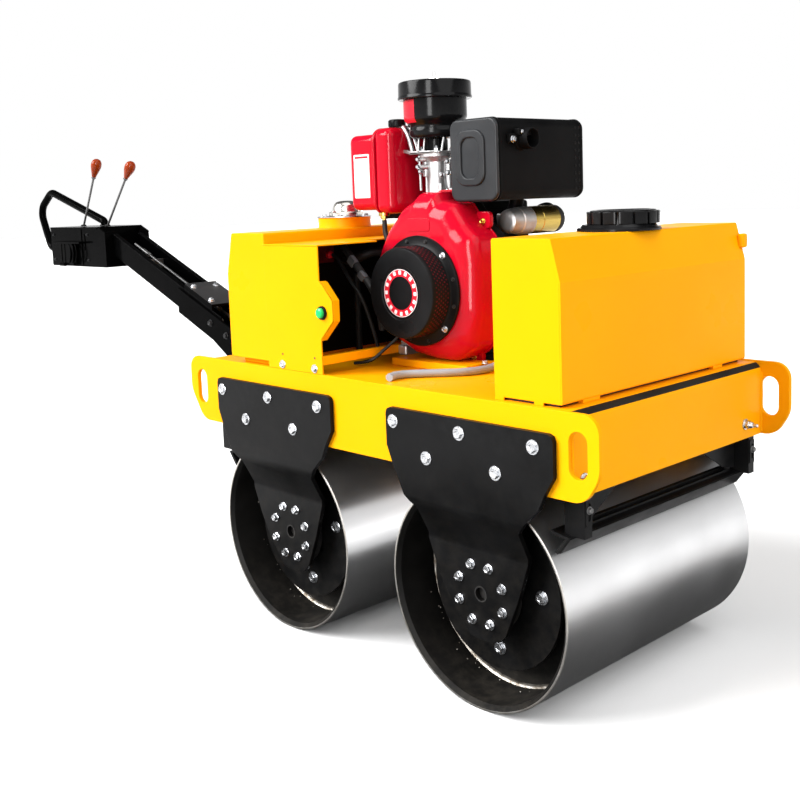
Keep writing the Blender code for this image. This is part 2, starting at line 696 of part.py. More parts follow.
# The shroud's outline as (forward of the crankshaft, height over it)
SHROUD_OUTLINE = [
    (-0.034, -0.136), (0.022, -0.144), (0.079, -0.144), (0.132, -0.112), (0.148, -0.044), (0.150, 0.056),
    (0.143, 0.112), (0.114, 0.137), (0.084, 0.170), (0.057, 0.176), (0.040, 0.202), (-0.008, 0.202),
    (-0.022, 0.190), (-0.056, 0.172), (-0.102, 0.127), (-0.136, 0.070), (-0.146, 0.020), (-0.146, -0.044),
    (-0.126, -0.084), (-0.092, -0.110),
]
shroud_outline = rounded([(across, CRANK_Z + height) for across, height in SHROUD_OUTLINE], 0.010, 2)
soften(prism("engine_fan_shroud", "red_paint", [shroud_outline], (SHROUD_NEAR, SHROUD_FAR)), 0.006)
CUP_RADIUS, CUP_FACE = 0.093, 0.056 - SHROUD_NEAR
turned(
    "recoil_starter", "black_plastic",
    [
        (0, CUP_FACE), (CUP_RADIUS - 0.007, CUP_FACE), (CUP_RADIUS, CUP_FACE - 0.007),
        (CUP_RADIUS, CUP_FACE - 0.050), (CUP_RADIUS + 0.021, CUP_FACE - 0.050),
        (CUP_RADIUS + 0.021, -SHROUD_NEAR + GAP), (0, -SHROUD_NEAR + GAP),
    ],
    (0, 0, CRANK_Z), "Y", 48,
).rotation_euler.x = pi / 2
soften(boxes("fuel_tank", "red_paint", [((-0.235, -0.110, FUEL_LOW), (-0.103, 0.080, FUEL_TOP))]), 0.014, 3)
turned(
    "fuel_cap", "black_plastic",
    [
        (0, FUEL_TOP + 0.017), (0.016, FUEL_TOP + 0.017), (0.019, FUEL_TOP + 0.014),
        (0.019, FUEL_TOP + GAP), (0, FUEL_TOP + GAP),
    ],
    (*FUEL_CAP_AT, 0), steps=24,
)
turned(
    "intake_casting", "cast_aluminium",
    [
        (0, FLANGE_TOP), (0.037, FLANGE_TOP), (0.037, FLANGE_TOP - 0.012), (0.021, FLANGE_TOP - 0.014),
        (0.021, HEAD_TOP + 0.0313), (0.026, HEAD_TOP + 0.0283), (0.026, HEAD_TOP), (0, HEAD_TOP),
    ],
    (*INTAKE_AT, 0), steps=24,
)
turned(
    "air_cleaner", "black_plastic",
    [
        (0, FLANGE_TOP + 0.165), (0.006, FLANGE_TOP + 0.165), (0.012, FLANGE_TOP + 0.155),
        (0.012, FLANGE_TOP + 0.147), (0.070, FLANGE_TOP + 0.145), (0.0785, FLANGE_TOP + 0.140),
        (0.0785, FLANGE_TOP + 0.108), (0.067, FLANGE_TOP + 0.108), (0.067, FLANGE_TOP + 0.066),
        (0.0565, FLANGE_TOP + 0.054), (0.0565, FLANGE_TOP + 0.036), (0.048, FLANGE_TOP + 0.026),
        (0.023, FLANGE_TOP + 0.026), (0.023, FLANGE_TOP + GAP), (0, FLANGE_TOP + GAP),
    ],
    (*CLEANER_AT, 0),
)
MUFFLER_FRONT = 0.186
muffler = soften(
    boxes(
        "muffler", "black_paint",
        [((0.060, -0.100, HEAD_TOP + GAP), (MUFFLER_FRONT, 0.180, HEAD_TOP + 0.1633))],
    ),
    0.016, 3,
)
outlet_at = (-0.022, HEAD_TOP + 0.1197)
outlet_span = (MUFFLER_FRONT - 0.006, MUFFLER_FRONT + 0.029)
join(muffler, rods("exhaust outlet", None, [outlet_at], 0.017, outlet_span, "X", 16))
STARTER_AT = (0.120, HEAD_TOP - 0.0427)
starter = turned(
    "starter_motor", "cast_aluminium",
    [
        (0, 0.185), (STARTER_RADIUS, 0.185), (STARTER_RADIUS, 0.060), (STARTER_RADIUS - 0.003, 0.058),
        (STARTER_RADIUS - 0.003, 0.0), (0, 0.0),
    ],
    (STARTER_AT[0], 0, STARTER_AT[1]), "Y", 24,
)
join(
    starter,
    boxes(
        "starter flange", None,
        [((0.0883, 0.005, STARTER_AT[1] - 0.017), (STARTER_AT[0] - 0.010, 0.030, STARTER_AT[1] + 0.017))],
    ),
)

# Belt drive on the engine's far side, and the hydraulic pump that it turns


def belt_outline(big, small):
    """The outline of a belt drive's guard: two circles, given as (x, z, radius), and their tangents."""
    ahead = Vector((small[0] - big[0], small[1] - big[1]))
    lean = Vector((1, 0)).angle_signed(ahead)
    spread = pi / 2 - (big[2] - small[2]) / ahead.length
    points = []
    for centre, start, sweep in ((small, -spread, 2 * spread), (big, spread, 2 * pi - 2 * spread)):
        for step in range(13):
            angle = -lean + start + sweep * step / 12
            points.append((centre[0] + centre[2] * cos(angle), centre[1] + centre[2] * sin(angle)))
    return points


prism(
    "belt_guard", "black_paint", [belt_outline((0, CRANK_Z, 0.085), (*PUMP_AT, 0.058))],
    (BLOCK_FAR + GAP, GUARD_FAR),
)
pump_x, pump_z = PUMP_AT
pump = rods("hydraulic_pump", "dark_steel", [PUMP_AT], PUMP_RADIUS, (-0.010, BLOCK_FAR))
join(
    pump,
    boxes(
        "pump pedestal", None, [((pump_x - 0.035, 0.060, DECK_TOP + GAP), (pump_x + 0.035, 0.160, pump_z))]
    ),
    boxes(
        "pump port block", None,
        [((pump_x - 0.022, -0.030, pump_z - 0.020), (pump_x + 0.022, 0.030, pump_z + 0.065))],
    ),
)
# The pressure hose, as (forward of the pump, y, height over it), from the port block to the housing
HOSE_ROUTE = [
    (0, 0.010, 0.0653), (0, 0.010, 0.080), (-0.002, -0.010, 0.104), (-0.012, -0.042, 0.117),
    (-0.024, -0.068, 0.115), (-0.040, -0.084, 0.106), (-0.062, -0.090, 0.100), (-0.0877, -0.090, 0.100),
]
tube("pump_hose", "black_plastic", [(pump_x + x, y, pump_z + z) for x, y, z in HOSE_ROUTE], 0.011, 2)
DRAIN_RADIUS = 0.008
DRAIN_Z = DECK_TOP + DRAIN_RADIUS + GAP
DRAIN_TURN, DRAIN_END = SHROUD_NEAR, 0.023 - SIDE_IN
drain_route = [
    (BLOCK_FRONT + GAP, -0.040, DECK_TOP + 0.029), (0.136, -0.040, DECK_TOP + 0.029),
    (0.148, -0.052, DECK_TOP + 0.023), (0.154, -0.080, DRAIN_Z + 0.0032),
    (0.151, -0.105, DRAIN_Z + 0.0002),
]
# On the deck: place along X, and the share of the way from the shroud to the side plate
for x, share in ((0.147, 0), (0.132, 0.17), (0.112, 0.32), (0.090, 0.46), (0.070, 0.59), (0.056, 0.71),
                 (0.052, 0.85), (0.060, 1)):
    drain_route.append((x, DRAIN_TURN + share * (DRAIN_END - DRAIN_TURN), DRAIN_Z))
tube("deck_drain_hose", "grey_rubber", drain_route, DRAIN_RADIUS, 2)

# Handle: it folds about a pin between two cheeks behind the chassis


def arm_low(x):
    """Height of the arm's lower edge at x."""
    return ARM_AT[1] - ARM_SLOPE * (x - ARM_AT[0])


ARM_RISE = ARM_DEPTH * sqrt(1 + ARM_SLOPE**2)
BASE_IN = ARM_HALF + GAP
BASE_OUT = BASE_IN + BASE_SHEET
CHEEK_IN = BASE_OUT + CHEEK_GAP
CHEEK_OUT = CHEEK_IN + CHEEK_SHEET
MOUNT_FRONT = BEAM_REAR - GAP
LUG_RADIUS = 0.030
CHEEK_REAR = PIVOT.x - 0.034
CHEEK_LOW, CHEEK_TOP = PIVOT.z - 0.060, PIVOT.z + 0.060

cheek_outline = rounded(
    [
        (MOUNT_FRONT, CHEEK_LOW), (MOUNT_FRONT, CHEEK_TOP), (PIVOT.x, PIVOT.z + 0.034, 0.015),
        (CHEEK_REAR, PIVOT.z + 0.010, 0.015), (CHEEK_REAR, CHEEK_LOW, 0.008),
    ],
    0, 3,
)
mount = prism(
    "handle_mount", "black_paint", [cheek_outline, circle((PIVOT.x, PIVOT.z), PIN_RADIUS + GAP, 24)],
    (-CHEEK_OUT, CHEEK_OUT),
)
stop_front, stop_top = PIVOT.x - 0.016, PIVOT.z - LUG_RADIUS - GAP
space_rear, space_top, space_low = PIVOT.x - 0.160, PIVOT.z + 0.185, PIVOT.z - 0.115
web_front = MOUNT_FRONT - 0.010
cut(
    mount,
    boxes(
        "handle mount space", None,
        [((space_rear, -CHEEK_IN, stop_top), (web_front, CHEEK_IN, space_top))],
    ),
    boxes(
        "handle mount floor", None,
        [((stop_front, -CHEEK_IN, space_low), (web_front, CHEEK_IN, stop_top + 0.001))],
    ),
)
rods("handle_pin", "bright_steel", [(PIVOT.x, PIVOT.z)], PIN_RADIUS, (-CHEEK_OUT - 0.008, CHEEK_OUT + 0.008))

base_low = [
    (BASE_REAR, arm_low(BASE_REAR) - BASE_DEEPER), (PIVOT.x - 0.254, PIVOT.z + 0.052),
    (PIVOT.x - 0.176, PIVOT.z + 0.005), (PIVOT.x - 0.060, PIVOT.z - 0.0265),
]
lug_arc = [
    (PIVOT.x + LUG_RADIUS * cos(radians(angle)), PIVOT.z + LUG_RADIUS * sin(radians(angle)))
    for angle in range(-90, 91, 20)
]
base_high = [
    (PIVOT.x - 0.160, PIVOT.z + 0.085), (PIVOT.x - 0.274, PIVOT.z + 0.130),
    (BASE_REAR, arm_low(BASE_REAR) + ARM_DEPTH - 0.0027),
]
base_outline = base_low + lug_arc + base_high
base = prism(
    "handle_base", "black_paint",
    [base_outline, circle((PIVOT.x, PIVOT.z), (PIN_RADIUS + 0.0004) / cos(pi / 24), 24)],
    (-BASE_OUT, BASE_OUT), on=fold,
)
trough_front = PIVOT.x - 0.166
trough = [
    (BASE_REAR - 0.039, arm_low(BASE_REAR - 0.039) - GAP), (PIVOT.x - 0.252, arm_low(PIVOT.x - 0.252) - GAP),
    (trough_front, PIVOT.z + 0.0115), (trough_front, PIVOT.z - 0.075), (PIVOT.x + 0.080, PIVOT.z - 0.075),
    (PIVOT.x + 0.080, PIVOT.z + 0.285), (BASE_REAR - 0.039, PIVOT.z + 0.285),
]
cut(base, prism("base trough", None, [trough], (-BASE_IN, BASE_IN), on=fold))

arm_outline = [
    (BOX_FRONT + GAP, arm_low(BOX_FRONT + GAP)), (ARM_FRONT, arm_low(ARM_FRONT)),
    (ARM_FRONT, arm_low(ARM_FRONT) + ARM_RISE), (BOX_FRONT + GAP, arm_low(BOX_FRONT + GAP) + ARM_RISE),
]
arm = prism("handle_arm", "black_paint", [arm_outline], (-ARM_HALF, ARM_HALF), on=fold)
inside = ARM_HALF - ARM_SHEET
floor = ARM_SHEET * sqrt(1 + ARM_SLOPE**2)
space_ends = (BOX_FRONT - 0.176, ARM_FRONT + 0.160)
space = [(x, arm_low(x) + floor) for x in space_ends]
space += [(x, arm_low(x) + floor + 5 * ARM_DEPTH) for x in space_ends[::-1]]
cut(arm, prism("arm trough", None, [space], (-inside, inside), on=fold))
plate_rear, plate_front = ARM_FRONT - 0.170, ARM_FRONT - 0.038
plate_low = [(x, arm_low(x) + ARM_RISE + GAP) for x in (plate_rear, plate_front)]
plate_outline = plate_low + [(x, height + 0.017) for x, height in plate_low[::-1]]
prism("handle_top_plate", "black_paint", [plate_outline], (-ARM_HALF - 0.002, ARM_HALF + 0.002), on=fold)

ROD_RADIUS = 0.004
ROD_RISE = 0.036
ROD_APART = 0.018
ROD_REAR, ROD_FRONT, CLAMP_X = BOX_FRONT + 0.014, ARM_FRONT - 0.040, BOX_FRONT + 0.124
shape = bmesh.new()
for side in SIDES.values():
    ends = [(x, side * ROD_APART, arm_low(x) + ROD_RISE) for x in (ROD_REAR, ROD_FRONT)]
    rod_between(shape, *ends, ROD_RADIUS, 12)
control_rods = add_shape("control_rods", shape, "bright_steel", fold)
clamp_rear, clamp_front = CLAMP_X - 0.006, CLAMP_X + 0.006
clamp_low, clamp_top = arm_low(clamp_rear) + floor + GAP, arm_low(CLAMP_X) + ROD_RISE
clamp = boxes(
    "rod clamp", None,
    [((clamp_rear, GAP - inside, clamp_low), (clamp_front, inside - GAP, clamp_top))], on=fold,
)
join(control_rods, clamp)

BOX_LOW = arm_low(BOX_FRONT) - 0.0364
BOX_TOP = BOX_LOW + BOX_HEIGHT
MOUTH_LOW = arm_low(BOX_FRONT) + 0.0121
box_outline = rounded(
    [
        (BOX_REAR, BOX_LOW), (BOX_FRONT, BOX_LOW), (BOX_FRONT, BOX_TOP - 0.018),
        (BOX_FRONT - 0.045, BOX_TOP), (BOX_REAR, BOX_TOP),
    ],
    0.003, 1,
)
control_box = prism("control_box", "black_paint", [box_outline], (-BOX_HALF, BOX_HALF), on=fold)
join(
    control_box,
    boxes(
        "box rear lug", None,
        [((BOX_REAR - 0.053, -0.020, BOX_LOW + 0.001), (BOX_REAR + 0.01, 0.020, BOX_LOW + 0.026))], on=fold,
    ),
    boxes(
        "hook shelf", None,
        [
            (
                (BOX_REAR + 0.060, -BOX_HALF - 0.024, BOX_LOW + 0.073),
                (BOX_REAR + 0.238, -BOX_HALF + 0.002, BOX_LOW + 0.079),
            )
        ],
        on=fold,
    ),
    boxes(
        "hook plate", None,
        [
            (
                (BOX_REAR + 0.087, -BOX_HALF - 0.016, BOX_LOW + 0.004),
                (BOX_REAR + 0.177, -BOX_HALF - 0.010, BOX_LOW + 0.075),
            )
        ],
        on=fold,
    ),
)
cut(
    control_box,
    boxes(
        "box pocket", None,
        [
            (
                (BOX_FRONT - 0.046, BOX_SHEET - BOX_HALF, BOX_LOW + 0.047),
                (BOX_FRONT - BOX_SHEET, BOX_HALF - BOX_SHEET, BOX_TOP + 0.023),
            )
        ],
        on=fold,
    ),
    boxes(
        "box mouth", None,
        [((BOX_FRONT - 0.020, -inside, MOUTH_LOW), (BOX_FRONT + 0.01, inside, BOX_TOP + 0.033))], on=fold,
    ),
)
LOOP_FOOT = BOX_LOW + 0.047
loop_corners = [
    (BOX_FRONT - 0.194, BOX_TOP + GAP), (BOX_FRONT - 0.194, BOX_TOP + 0.0142, 0.016),
    (BOX_REAR - 0.195, BOX_TOP + 0.1168, 0.045), (BOX_REAR - 0.2914, BOX_TOP + 0.056, 0.045),
    (BOX_REAR - 0.225, LOOP_FOOT, 0.040), (BOX_REAR - GAP, LOOP_FOOT),
]
tube(
    "grab_loop", "black_paint",
    [(across, LOOP_Y, height) for across, height in rounded(loop_corners, 0.020, 6, closed=False)],
    LOOP_TUBE, 3, on=fold,
)
# Levers: name, place of the foot along X, and the knob's middle as seen from the foot
LEVERS = [
    ("drive_lever", BOX_REAR + 0.141, (0.107, 0.182)), ("throttle_lever", BOX_REAR + 0.298, (0.155, 0.167)),
]
LEVER_ROD = 0.005
for name, foot_x, knob in LEVERS:
    reach = Vector(knob)
    tilt = Vector((0, 1)).angle_signed(reach)
    long = reach.length
    start = LEVER_ROD * abs(sin(tilt)) / cos(tilt) * 1.05 + GAP
    turned(
        name, "orange_plastic",
        [
            (0, long + 0.030), (0.008, long + 0.029), (0.0165, long + 0.020), (0.019, long + 0.010),
            (0.017, long - 0.006), (0.011, long - 0.024), (0.008, long - 0.030), (LEVER_ROD, long - 0.030),
            (LEVER_ROD, start), (0, start),
        ],
        (foot_x, LEVER_Y, BOX_TOP), "Z", 16, tilt=tilt, on=fold,
    )

# The origin goes under the middle of the machine's box
bpy.context.view_layer.update()
graph = bpy.context.evaluated_depsgraph_get()
reach = []
for piece in parts.objects:
    if piece.type != "EMPTY":
        seen = piece.evaluated_get(graph)
        reach += [(seen.matrix_world @ vertex.co).x for vertex in seen.to_mesh().vertices]
        seen.to_mesh_clear()
machine.location.x = -(min(reach) + max(reach)) / 2
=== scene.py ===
# %% [markdown]
# # A walk-behind double drum roller
#
# This is a small roller that a person walks behind to press down gravel, soil or asphalt. Two
# smooth steel drums carry a low yellow chassis. A single-cylinder engine sits in the middle, a water
# tank in front of it, an oil tank behind it, and one long handle reaches back to the operator.
#
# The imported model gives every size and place. Here each part gets the shape details and the
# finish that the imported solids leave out: rolled edges, bolts, fins, seams, paint and steel.

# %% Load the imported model
import json
from math import atan2, cos, hypot, pi, radians, sin
from random import Random

import bpy
from mathutils import Matrix, Vector


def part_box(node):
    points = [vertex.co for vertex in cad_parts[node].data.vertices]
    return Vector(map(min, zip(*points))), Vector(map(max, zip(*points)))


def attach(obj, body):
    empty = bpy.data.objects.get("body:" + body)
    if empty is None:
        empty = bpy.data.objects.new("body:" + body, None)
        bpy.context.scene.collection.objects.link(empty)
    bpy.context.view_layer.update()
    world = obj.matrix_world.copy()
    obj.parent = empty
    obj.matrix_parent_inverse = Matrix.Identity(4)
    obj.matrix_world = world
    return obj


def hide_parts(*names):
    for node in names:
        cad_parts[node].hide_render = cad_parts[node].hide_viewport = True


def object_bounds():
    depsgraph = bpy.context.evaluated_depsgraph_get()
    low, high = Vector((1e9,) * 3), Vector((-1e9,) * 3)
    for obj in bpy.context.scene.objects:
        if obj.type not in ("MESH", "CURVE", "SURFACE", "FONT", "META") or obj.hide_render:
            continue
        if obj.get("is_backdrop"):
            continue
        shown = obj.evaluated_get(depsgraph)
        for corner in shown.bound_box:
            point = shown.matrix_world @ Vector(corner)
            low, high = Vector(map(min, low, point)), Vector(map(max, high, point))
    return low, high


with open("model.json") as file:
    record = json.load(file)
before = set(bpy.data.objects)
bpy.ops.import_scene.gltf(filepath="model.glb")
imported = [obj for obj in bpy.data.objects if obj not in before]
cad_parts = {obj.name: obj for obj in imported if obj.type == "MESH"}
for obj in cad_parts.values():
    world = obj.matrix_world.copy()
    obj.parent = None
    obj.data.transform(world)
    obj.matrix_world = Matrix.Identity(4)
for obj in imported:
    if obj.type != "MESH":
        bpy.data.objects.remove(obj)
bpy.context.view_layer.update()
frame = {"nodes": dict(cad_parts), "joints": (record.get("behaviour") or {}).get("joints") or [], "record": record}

bpy.ops.object.select_all(action="DESELECT")

# %% [markdown]
# ## The camera
#
# The machine is seen from its front right corner, from a little above the water tank. The
# camera's place is measured from the middle of the wheelbase, which the two drum joints give, so
# that the view keeps its framing if the machine's box changes.

# %% The camera
AXLES = {j["name"]: Vector(j["pos_m"]) for j in frame["joints"]}
FRONT_AXLE, REAR_AXLE = AXLES["front_drum_spin"], AXLES["rear_drum_spin"]
PIVOT = AXLES["handle_fold"]
MIDDLE = (FRONT_AXLE.x + REAR_AXLE.x) / 2
YAW, PITCH, ROLL = radians(46.843), radians(6.697), radians(-2.14)
FOCAL = 48.1

bpy.ops.object.camera_add(location=(MIDDLE + 1.565, -1.661, 0.942))
camera = bpy.context.object
ahead = Vector((-sin(YAW) * cos(PITCH), cos(YAW) * cos(PITCH), -sin(PITCH)))
right = Vector((cos(YAW), sin(YAW), 0))
up = right.cross(ahead)
rolled_right = right * cos(ROLL) + up * sin(ROLL)
rolled_up = up * cos(ROLL) - right * sin(ROLL)
camera.rotation_euler = Matrix((rolled_right, rolled_up, -ahead)).transposed().to_euler()
camera.data.lens = FOCAL
camera.data.sensor_width = 36.0
camera.data.shift_y = -0.1
camera.data.clip_end = 200.0
bpy.context.scene.camera = camera
print("camera at", [round(value, 3) for value in camera.location])

# %% [markdown]
# ## The studio
#
# The machine stands on a wide white floor. The light comes from a bright dome, white near
# the horizon and greyer overhead, and from three broad lamps. The key lamp is on the machine's
# right and behind, so that its front is in soft shade. The grey overhead is what gives bare
# steel its dark bands: steel shows what is round it, and in an even white room it would look like
# chalk.

# %% Helpers that mix colours and stretch values in a node tree
def colour_mix(tree):
    """A node that mixes two colours."""
    node = tree.nodes.new("ShaderNodeMix")
    node.data_type = "RGBA"
    return node


def blend_node(tree, factor, under, over):
    """Mixes two greys or colour outputs by a factor output."""
    mix = colour_mix(tree)
    tree.links.new(factor, mix.inputs["Factor"])
    for socket, value in (("A", under), ("B", over)):
        if isinstance(value, float):
            mix.inputs[socket].default_value = (value, value, value, 1)
        else:
            tree.links.new(value, mix.inputs[socket])
    return mix.outputs["Result"]


def range_node(tree, low, high, to_low=0.0, to_high=1.0, kind="LINEAR"):
    """Stretches values from one range to another."""
    node = tree.nodes.new("ShaderNodeMapRange")
    node.interpolation_type = kind
    for socket, value in zip(("From Min", "From Max", "To Min", "To Max"), (low, high, to_low, to_high)):
        node.inputs[socket].default_value = value
    return node


# %% The floor: white to the camera, with painted shade near the machine in what it reflects and bounces
# Painted shade: within a ring round the machine the floor is dark in reflections and bounced light only, for the
# machine's shadow there; the camera sees the plain white floor.
FLOOR_SEEN, PAINTED_SHADE_TONE, FAR_TONE = 0.93, 0.05, 0.85
PAINTED_SHADE_BOUNCE, BOUNCE_FAR = 0.25, 0.50
PAINTED_SHADE_NEAR, PAINTED_SHADE_FAR = 0.85, 1.30
FLOOR_SIZE, FLOOR_DROP = 60.0, 0.0006
bpy.ops.mesh.primitive_plane_add(size=FLOOR_SIZE, location=(0, 0, -FLOOR_DROP))
floor = bpy.context.object
floor.name = "studio_floor"
floor_paint = bpy.data.materials.new("studio floor")
floor_paint.use_nodes = True
paper = floor_paint.node_tree
paper_shader = paper.nodes["Principled BSDF"]
place_on_floor, distance, rays = (
    paper.nodes.new(f"ShaderNode{kind}") for kind in ("TexCoord", "VectorMath", "LightPath"))
distance.operation = "DISTANCE"
distance.inputs[1].default_value = (MIDDLE, 0, 0)
painted_shade_edge = range_node(paper, PAINTED_SHADE_NEAR, PAINTED_SHADE_FAR, kind="SMOOTHSTEP")
paper.links.new(place_on_floor.outputs["Object"], distance.inputs[0])
paper.links.new(distance.outputs["Value"], painted_shade_edge.inputs["Value"])
thrown_back = blend_node(paper, painted_shade_edge.outputs["Result"], PAINTED_SHADE_TONE, FAR_TONE)
bounce = blend_node(paper, painted_shade_edge.outputs["Result"], PAINTED_SHADE_BOUNCE, BOUNCE_FAR)
tone = blend_node(paper, rays.outputs["Is Glossy Ray"], bounce, thrown_back)
for ray in ("Is Transmission Ray", "Is Camera Ray"):
    tone = blend_node(paper, rays.outputs[ray], tone, FLOOR_SEEN)
paper.links.new(tone, paper_shader.inputs["Base Color"])
paper_shader.inputs["Roughness"].default_value = 0.9
paper_shader.inputs["Specular IOR Level"].default_value = 0.0
floor.data.materials.append(floor_paint)
floor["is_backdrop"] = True
print("floor", FLOOR_SIZE, "m wide, grey within", PAINTED_SHADE_NEAR, "m of the machine's middle in what it throws back")

# %% The dome
DOME_HIGH = 0.12
DOME_TURN = (0.14, 0.42)
world = bpy.data.worlds.new("studio dome")
world.use_nodes = True
bpy.context.scene.world = world
dome = world.node_tree
direction, height, dome_rays = (
    dome.nodes.new(f"ShaderNode{kind}") for kind in ("TexCoord", "SeparateXYZ", "LightPath"))
shade = range_node(dome, *DOME_TURN, 1.0, DOME_HIGH, "SMOOTHSTEP")
dome.links.new(direction.outputs["Generated"], height.inputs["Vector"])
dome.links.new(height.outputs["Z"], shade.inputs["Value"])
backdrop = blend_node(dome, dome_rays.outputs["Is Camera Ray"], shade.outputs["Result"], 1.0)
dome.links.new(backdrop, dome.nodes["Background"].inputs["Color"])
print("dome falls from 1.0 to", DOME_HIGH, "overhead")

# %% The lamps: name, height and heading of the light, its width in degrees, its strength
LAMPS = (("key", 31, -33, 40, 6.2), ("front", 40, 80, 60, 1.8), ("top", 80, 60, 50, 0.9))
LAMP_AIM, LAMP_REACH = Vector((MIDDLE, 0, 0.5)), 5
for name, rise, heading, width, strength in LAMPS:
    rise, heading = radians(rise), radians(heading)
    toward = Vector((sin(heading) * cos(rise), -cos(heading) * cos(rise), sin(rise)))
    bpy.ops.object.light_add(type="SUN", location=LAMP_AIM + toward * LAMP_REACH)
    lamp = bpy.context.object
    lamp.name = f"{name}_lamp"
    lamp.data.angle = radians(width)
    lamp.data.energy = strength
    lamp.rotation_euler = toward.to_track_quat("Z", "Y").to_euler()
    print(lamp.name, "shines from", [round(value, 2) for value in toward])


# %% [markdown]
# ### Two kinds of soft panel
#
# A lit panel of cloth is how a studio draws highlights. Two small ones hang between the drums, where
# the drums would otherwise have only each other to show. A tall one stands to the right like a window:
# it is left out of the diffuse light, so it draws only the crisp highlights on rounded gloss paint.

# %% The panels
def panel_lamp(name, place, size, watts):
    """A rectangular lamp that the camera doesn't see."""
    bpy.ops.object.light_add(type="AREA", location=place)
    panel = bpy.context.object
    panel.name = name
    panel.data.shape, panel.data.size, panel.data.size_y = "RECTANGLE", *size
    panel.data.energy = watts
    panel.visible_camera = False
    return panel


STRIP_SIZE, STRIP_WATTS, STRIP_APART = (0.50, 0.17), 0.22, 0.004
for facing, word in ((-1, "rear"), (1, "front")):
    strip = panel_lamp(f"strip_lamp_{word}", (MIDDLE + facing * STRIP_APART, -0.02, 0.262), STRIP_SIZE, STRIP_WATTS)
    strip.rotation_euler = (pi / 2, 0, facing * pi / 2)
WINDOW_AT, WINDOW_AIM = Vector((1.26, -2.81, 1.45)), Vector((0.14, -0.17, 0.83))
window = panel_lamp("window_lamp", WINDOW_AT + Vector((MIDDLE, 0, 0)), (0.75, 2.6), 120.0)
window.rotation_euler = (WINDOW_AT - WINDOW_AIM).to_track_quat("Z", "Y").to_euler()
window.visible_diffuse = False
print("window lamp", round((WINDOW_AT - WINDOW_AIM).length, 2), "m from the engine")

bpy.context.scene.view_settings.view_transform = "Standard"

# %% [markdown]
# ## Effects that several finishes share
#
# Paint, plastic and steel differ in colour and gloss, but their small flaws are of a few
# kinds. Each kind is one node group with named inputs, built once here: soft mottling of the
# colour, fine grain for the bump, grooves from turning or brushing, patches of
# gloss, settled dust, and bare or faded edges. A group gives out only
# colours, masks and heights. Each finish places the group with its own values.

# %% Helpers that start a node group, add its nodes and wire them
def shader_group(name, inputs, outputs):
    """An empty node group with its sockets, and the nodes that carry what goes in and out."""
    group = bpy.data.node_groups.new(name, "ShaderNodeTree")
    for direction, sockets in (("INPUT", inputs), ("OUTPUT", outputs)):
        for label, kind in sockets.items():
            group.interface.new_socket(label, in_out=direction, socket_type=f"NodeSocket{kind}")
    return group, group.nodes.new("NodeGroupInput"), group.nodes.new("NodeGroupOutput")


def wire(tree, *links):
    """Joins nodes. Each link gives a node and its output, then a node and its input."""
    for source, given_out, target, taken_in in links:
        tree.links.new(source.outputs[given_out], target.inputs[taken_in])


def noise_node(tree, detail, roughness=0.5, scale=None):
    """A noise texture, with its own scale if nothing is wired to that."""
    node = tree.nodes.new("ShaderNodeTexNoise")
    node.inputs["Detail"].default_value = detail
    node.inputs["Roughness"].default_value = roughness
    if scale is not None:
        node.inputs["Scale"].default_value = scale
    return node


def product_node(tree):
    """Multiplies two masks."""
    node = tree.nodes.new("ShaderNodeMath")
    node.operation = "MULTIPLY"
    return node


# %% Mottling: two colours in soft clouds
mottling, given, made = shader_group(
    "mottling", {"Vector": "Vector", "Scale": "Float", "Colour": "Color", "Second Colour": "Color"},
    {"Colour": "Color"},
)
clouds, cloud_range, tint = noise_node(mottling, 3.0), range_node(mottling, 0.35, 0.65), colour_mix(mottling)
wire(
    mottling,
    (given, "Vector", clouds, "Vector"), (given, "Scale", clouds, "Scale"), (clouds, "Fac", cloud_range, "Value"),
    (cloud_range, "Result", tint, "Factor"), (given, "Colour", tint, "A"), (given, "Second Colour", tint, "B"),
    (tint, "Result", made, "Colour"),
)

# %% Grain: the fine height of paint, plastic or a casting
grain, given, made = shader_group("grain", {"Vector": "Vector", "Scale": "Float"}, {"Height": "Float"})
fine = noise_node(grain, 4.0, 0.6)
wire(grain, (given, "Vector", fine, "Vector"), (given, "Scale", fine, "Scale"), (fine, "Fac", made, "Height"))

# %% Grooves: long fine lines, from noise that is squeezed across them
grooves, given, made = shader_group("grooves", {"Vector": "Vector", "Stretch": "Vector"}, {"Height": "Float"})
squeezed = grooves.nodes.new("ShaderNodeVectorMath")
squeezed.operation = "MULTIPLY"
lines = noise_node(grooves, 5.0, 0.65, 1.0)
wire(
    grooves,
    (given, "Vector", squeezed, 0), (given, "Stretch", squeezed, 1), (squeezed, "Vector", lines, "Vector"),
    (lines, "Fac", made, "Height"),
)

# %% Gloss patches: where hands, rain and wiping changed the shine
patches, given, made = shader_group(
    "gloss_patches", {"Vector": "Vector", "Scale": "Float", "Low": "Float", "High": "Float"}, {"Roughness": "Float"},
)
smears, spread = noise_node(patches, 4.0, 0.55), range_node(patches, 0.3, 0.7)
wire(
    patches,
    (given, "Vector", smears, "Vector"), (given, "Scale", smears, "Scale"), (smears, "Fac", spread, "Value"),
    (given, "Low", spread, "To Min"), (given, "High", spread, "To Max"), (spread, "Result", made, "Roughness"),
)

# %% Dust: more of it low down, in uneven flecks
dust, given, made = shader_group("dust", {"Vector": "Vector", "Reach": "Float", "Amount": "Float"}, {"Mask": "Float"})
level = dust.nodes.new("ShaderNodeSeparateXYZ")
fade, fleck_range = range_node(dust, 0.0, 1.0, 1.0, 0.0), range_node(dust, 0.42, 0.68)
flecks = noise_node(dust, 6.0, 0.7, 38.0)
layered, scaled = product_node(dust), product_node(dust)
wire(
    dust,
    (given, "Vector", level, "Vector"), (given, "Vector", flecks, "Vector"), (level, "Z", fade, "Value"),
    (given, "Reach", fade, "From Max"), (flecks, "Fac", fleck_range, "Value"), (fade, "Result", layered, 0),
    (fleck_range, "Result", layered, 1), (layered, "Value", scaled, 0), (given, "Amount", scaled, 1),
    (scaled, "Value", made, "Mask"),
)

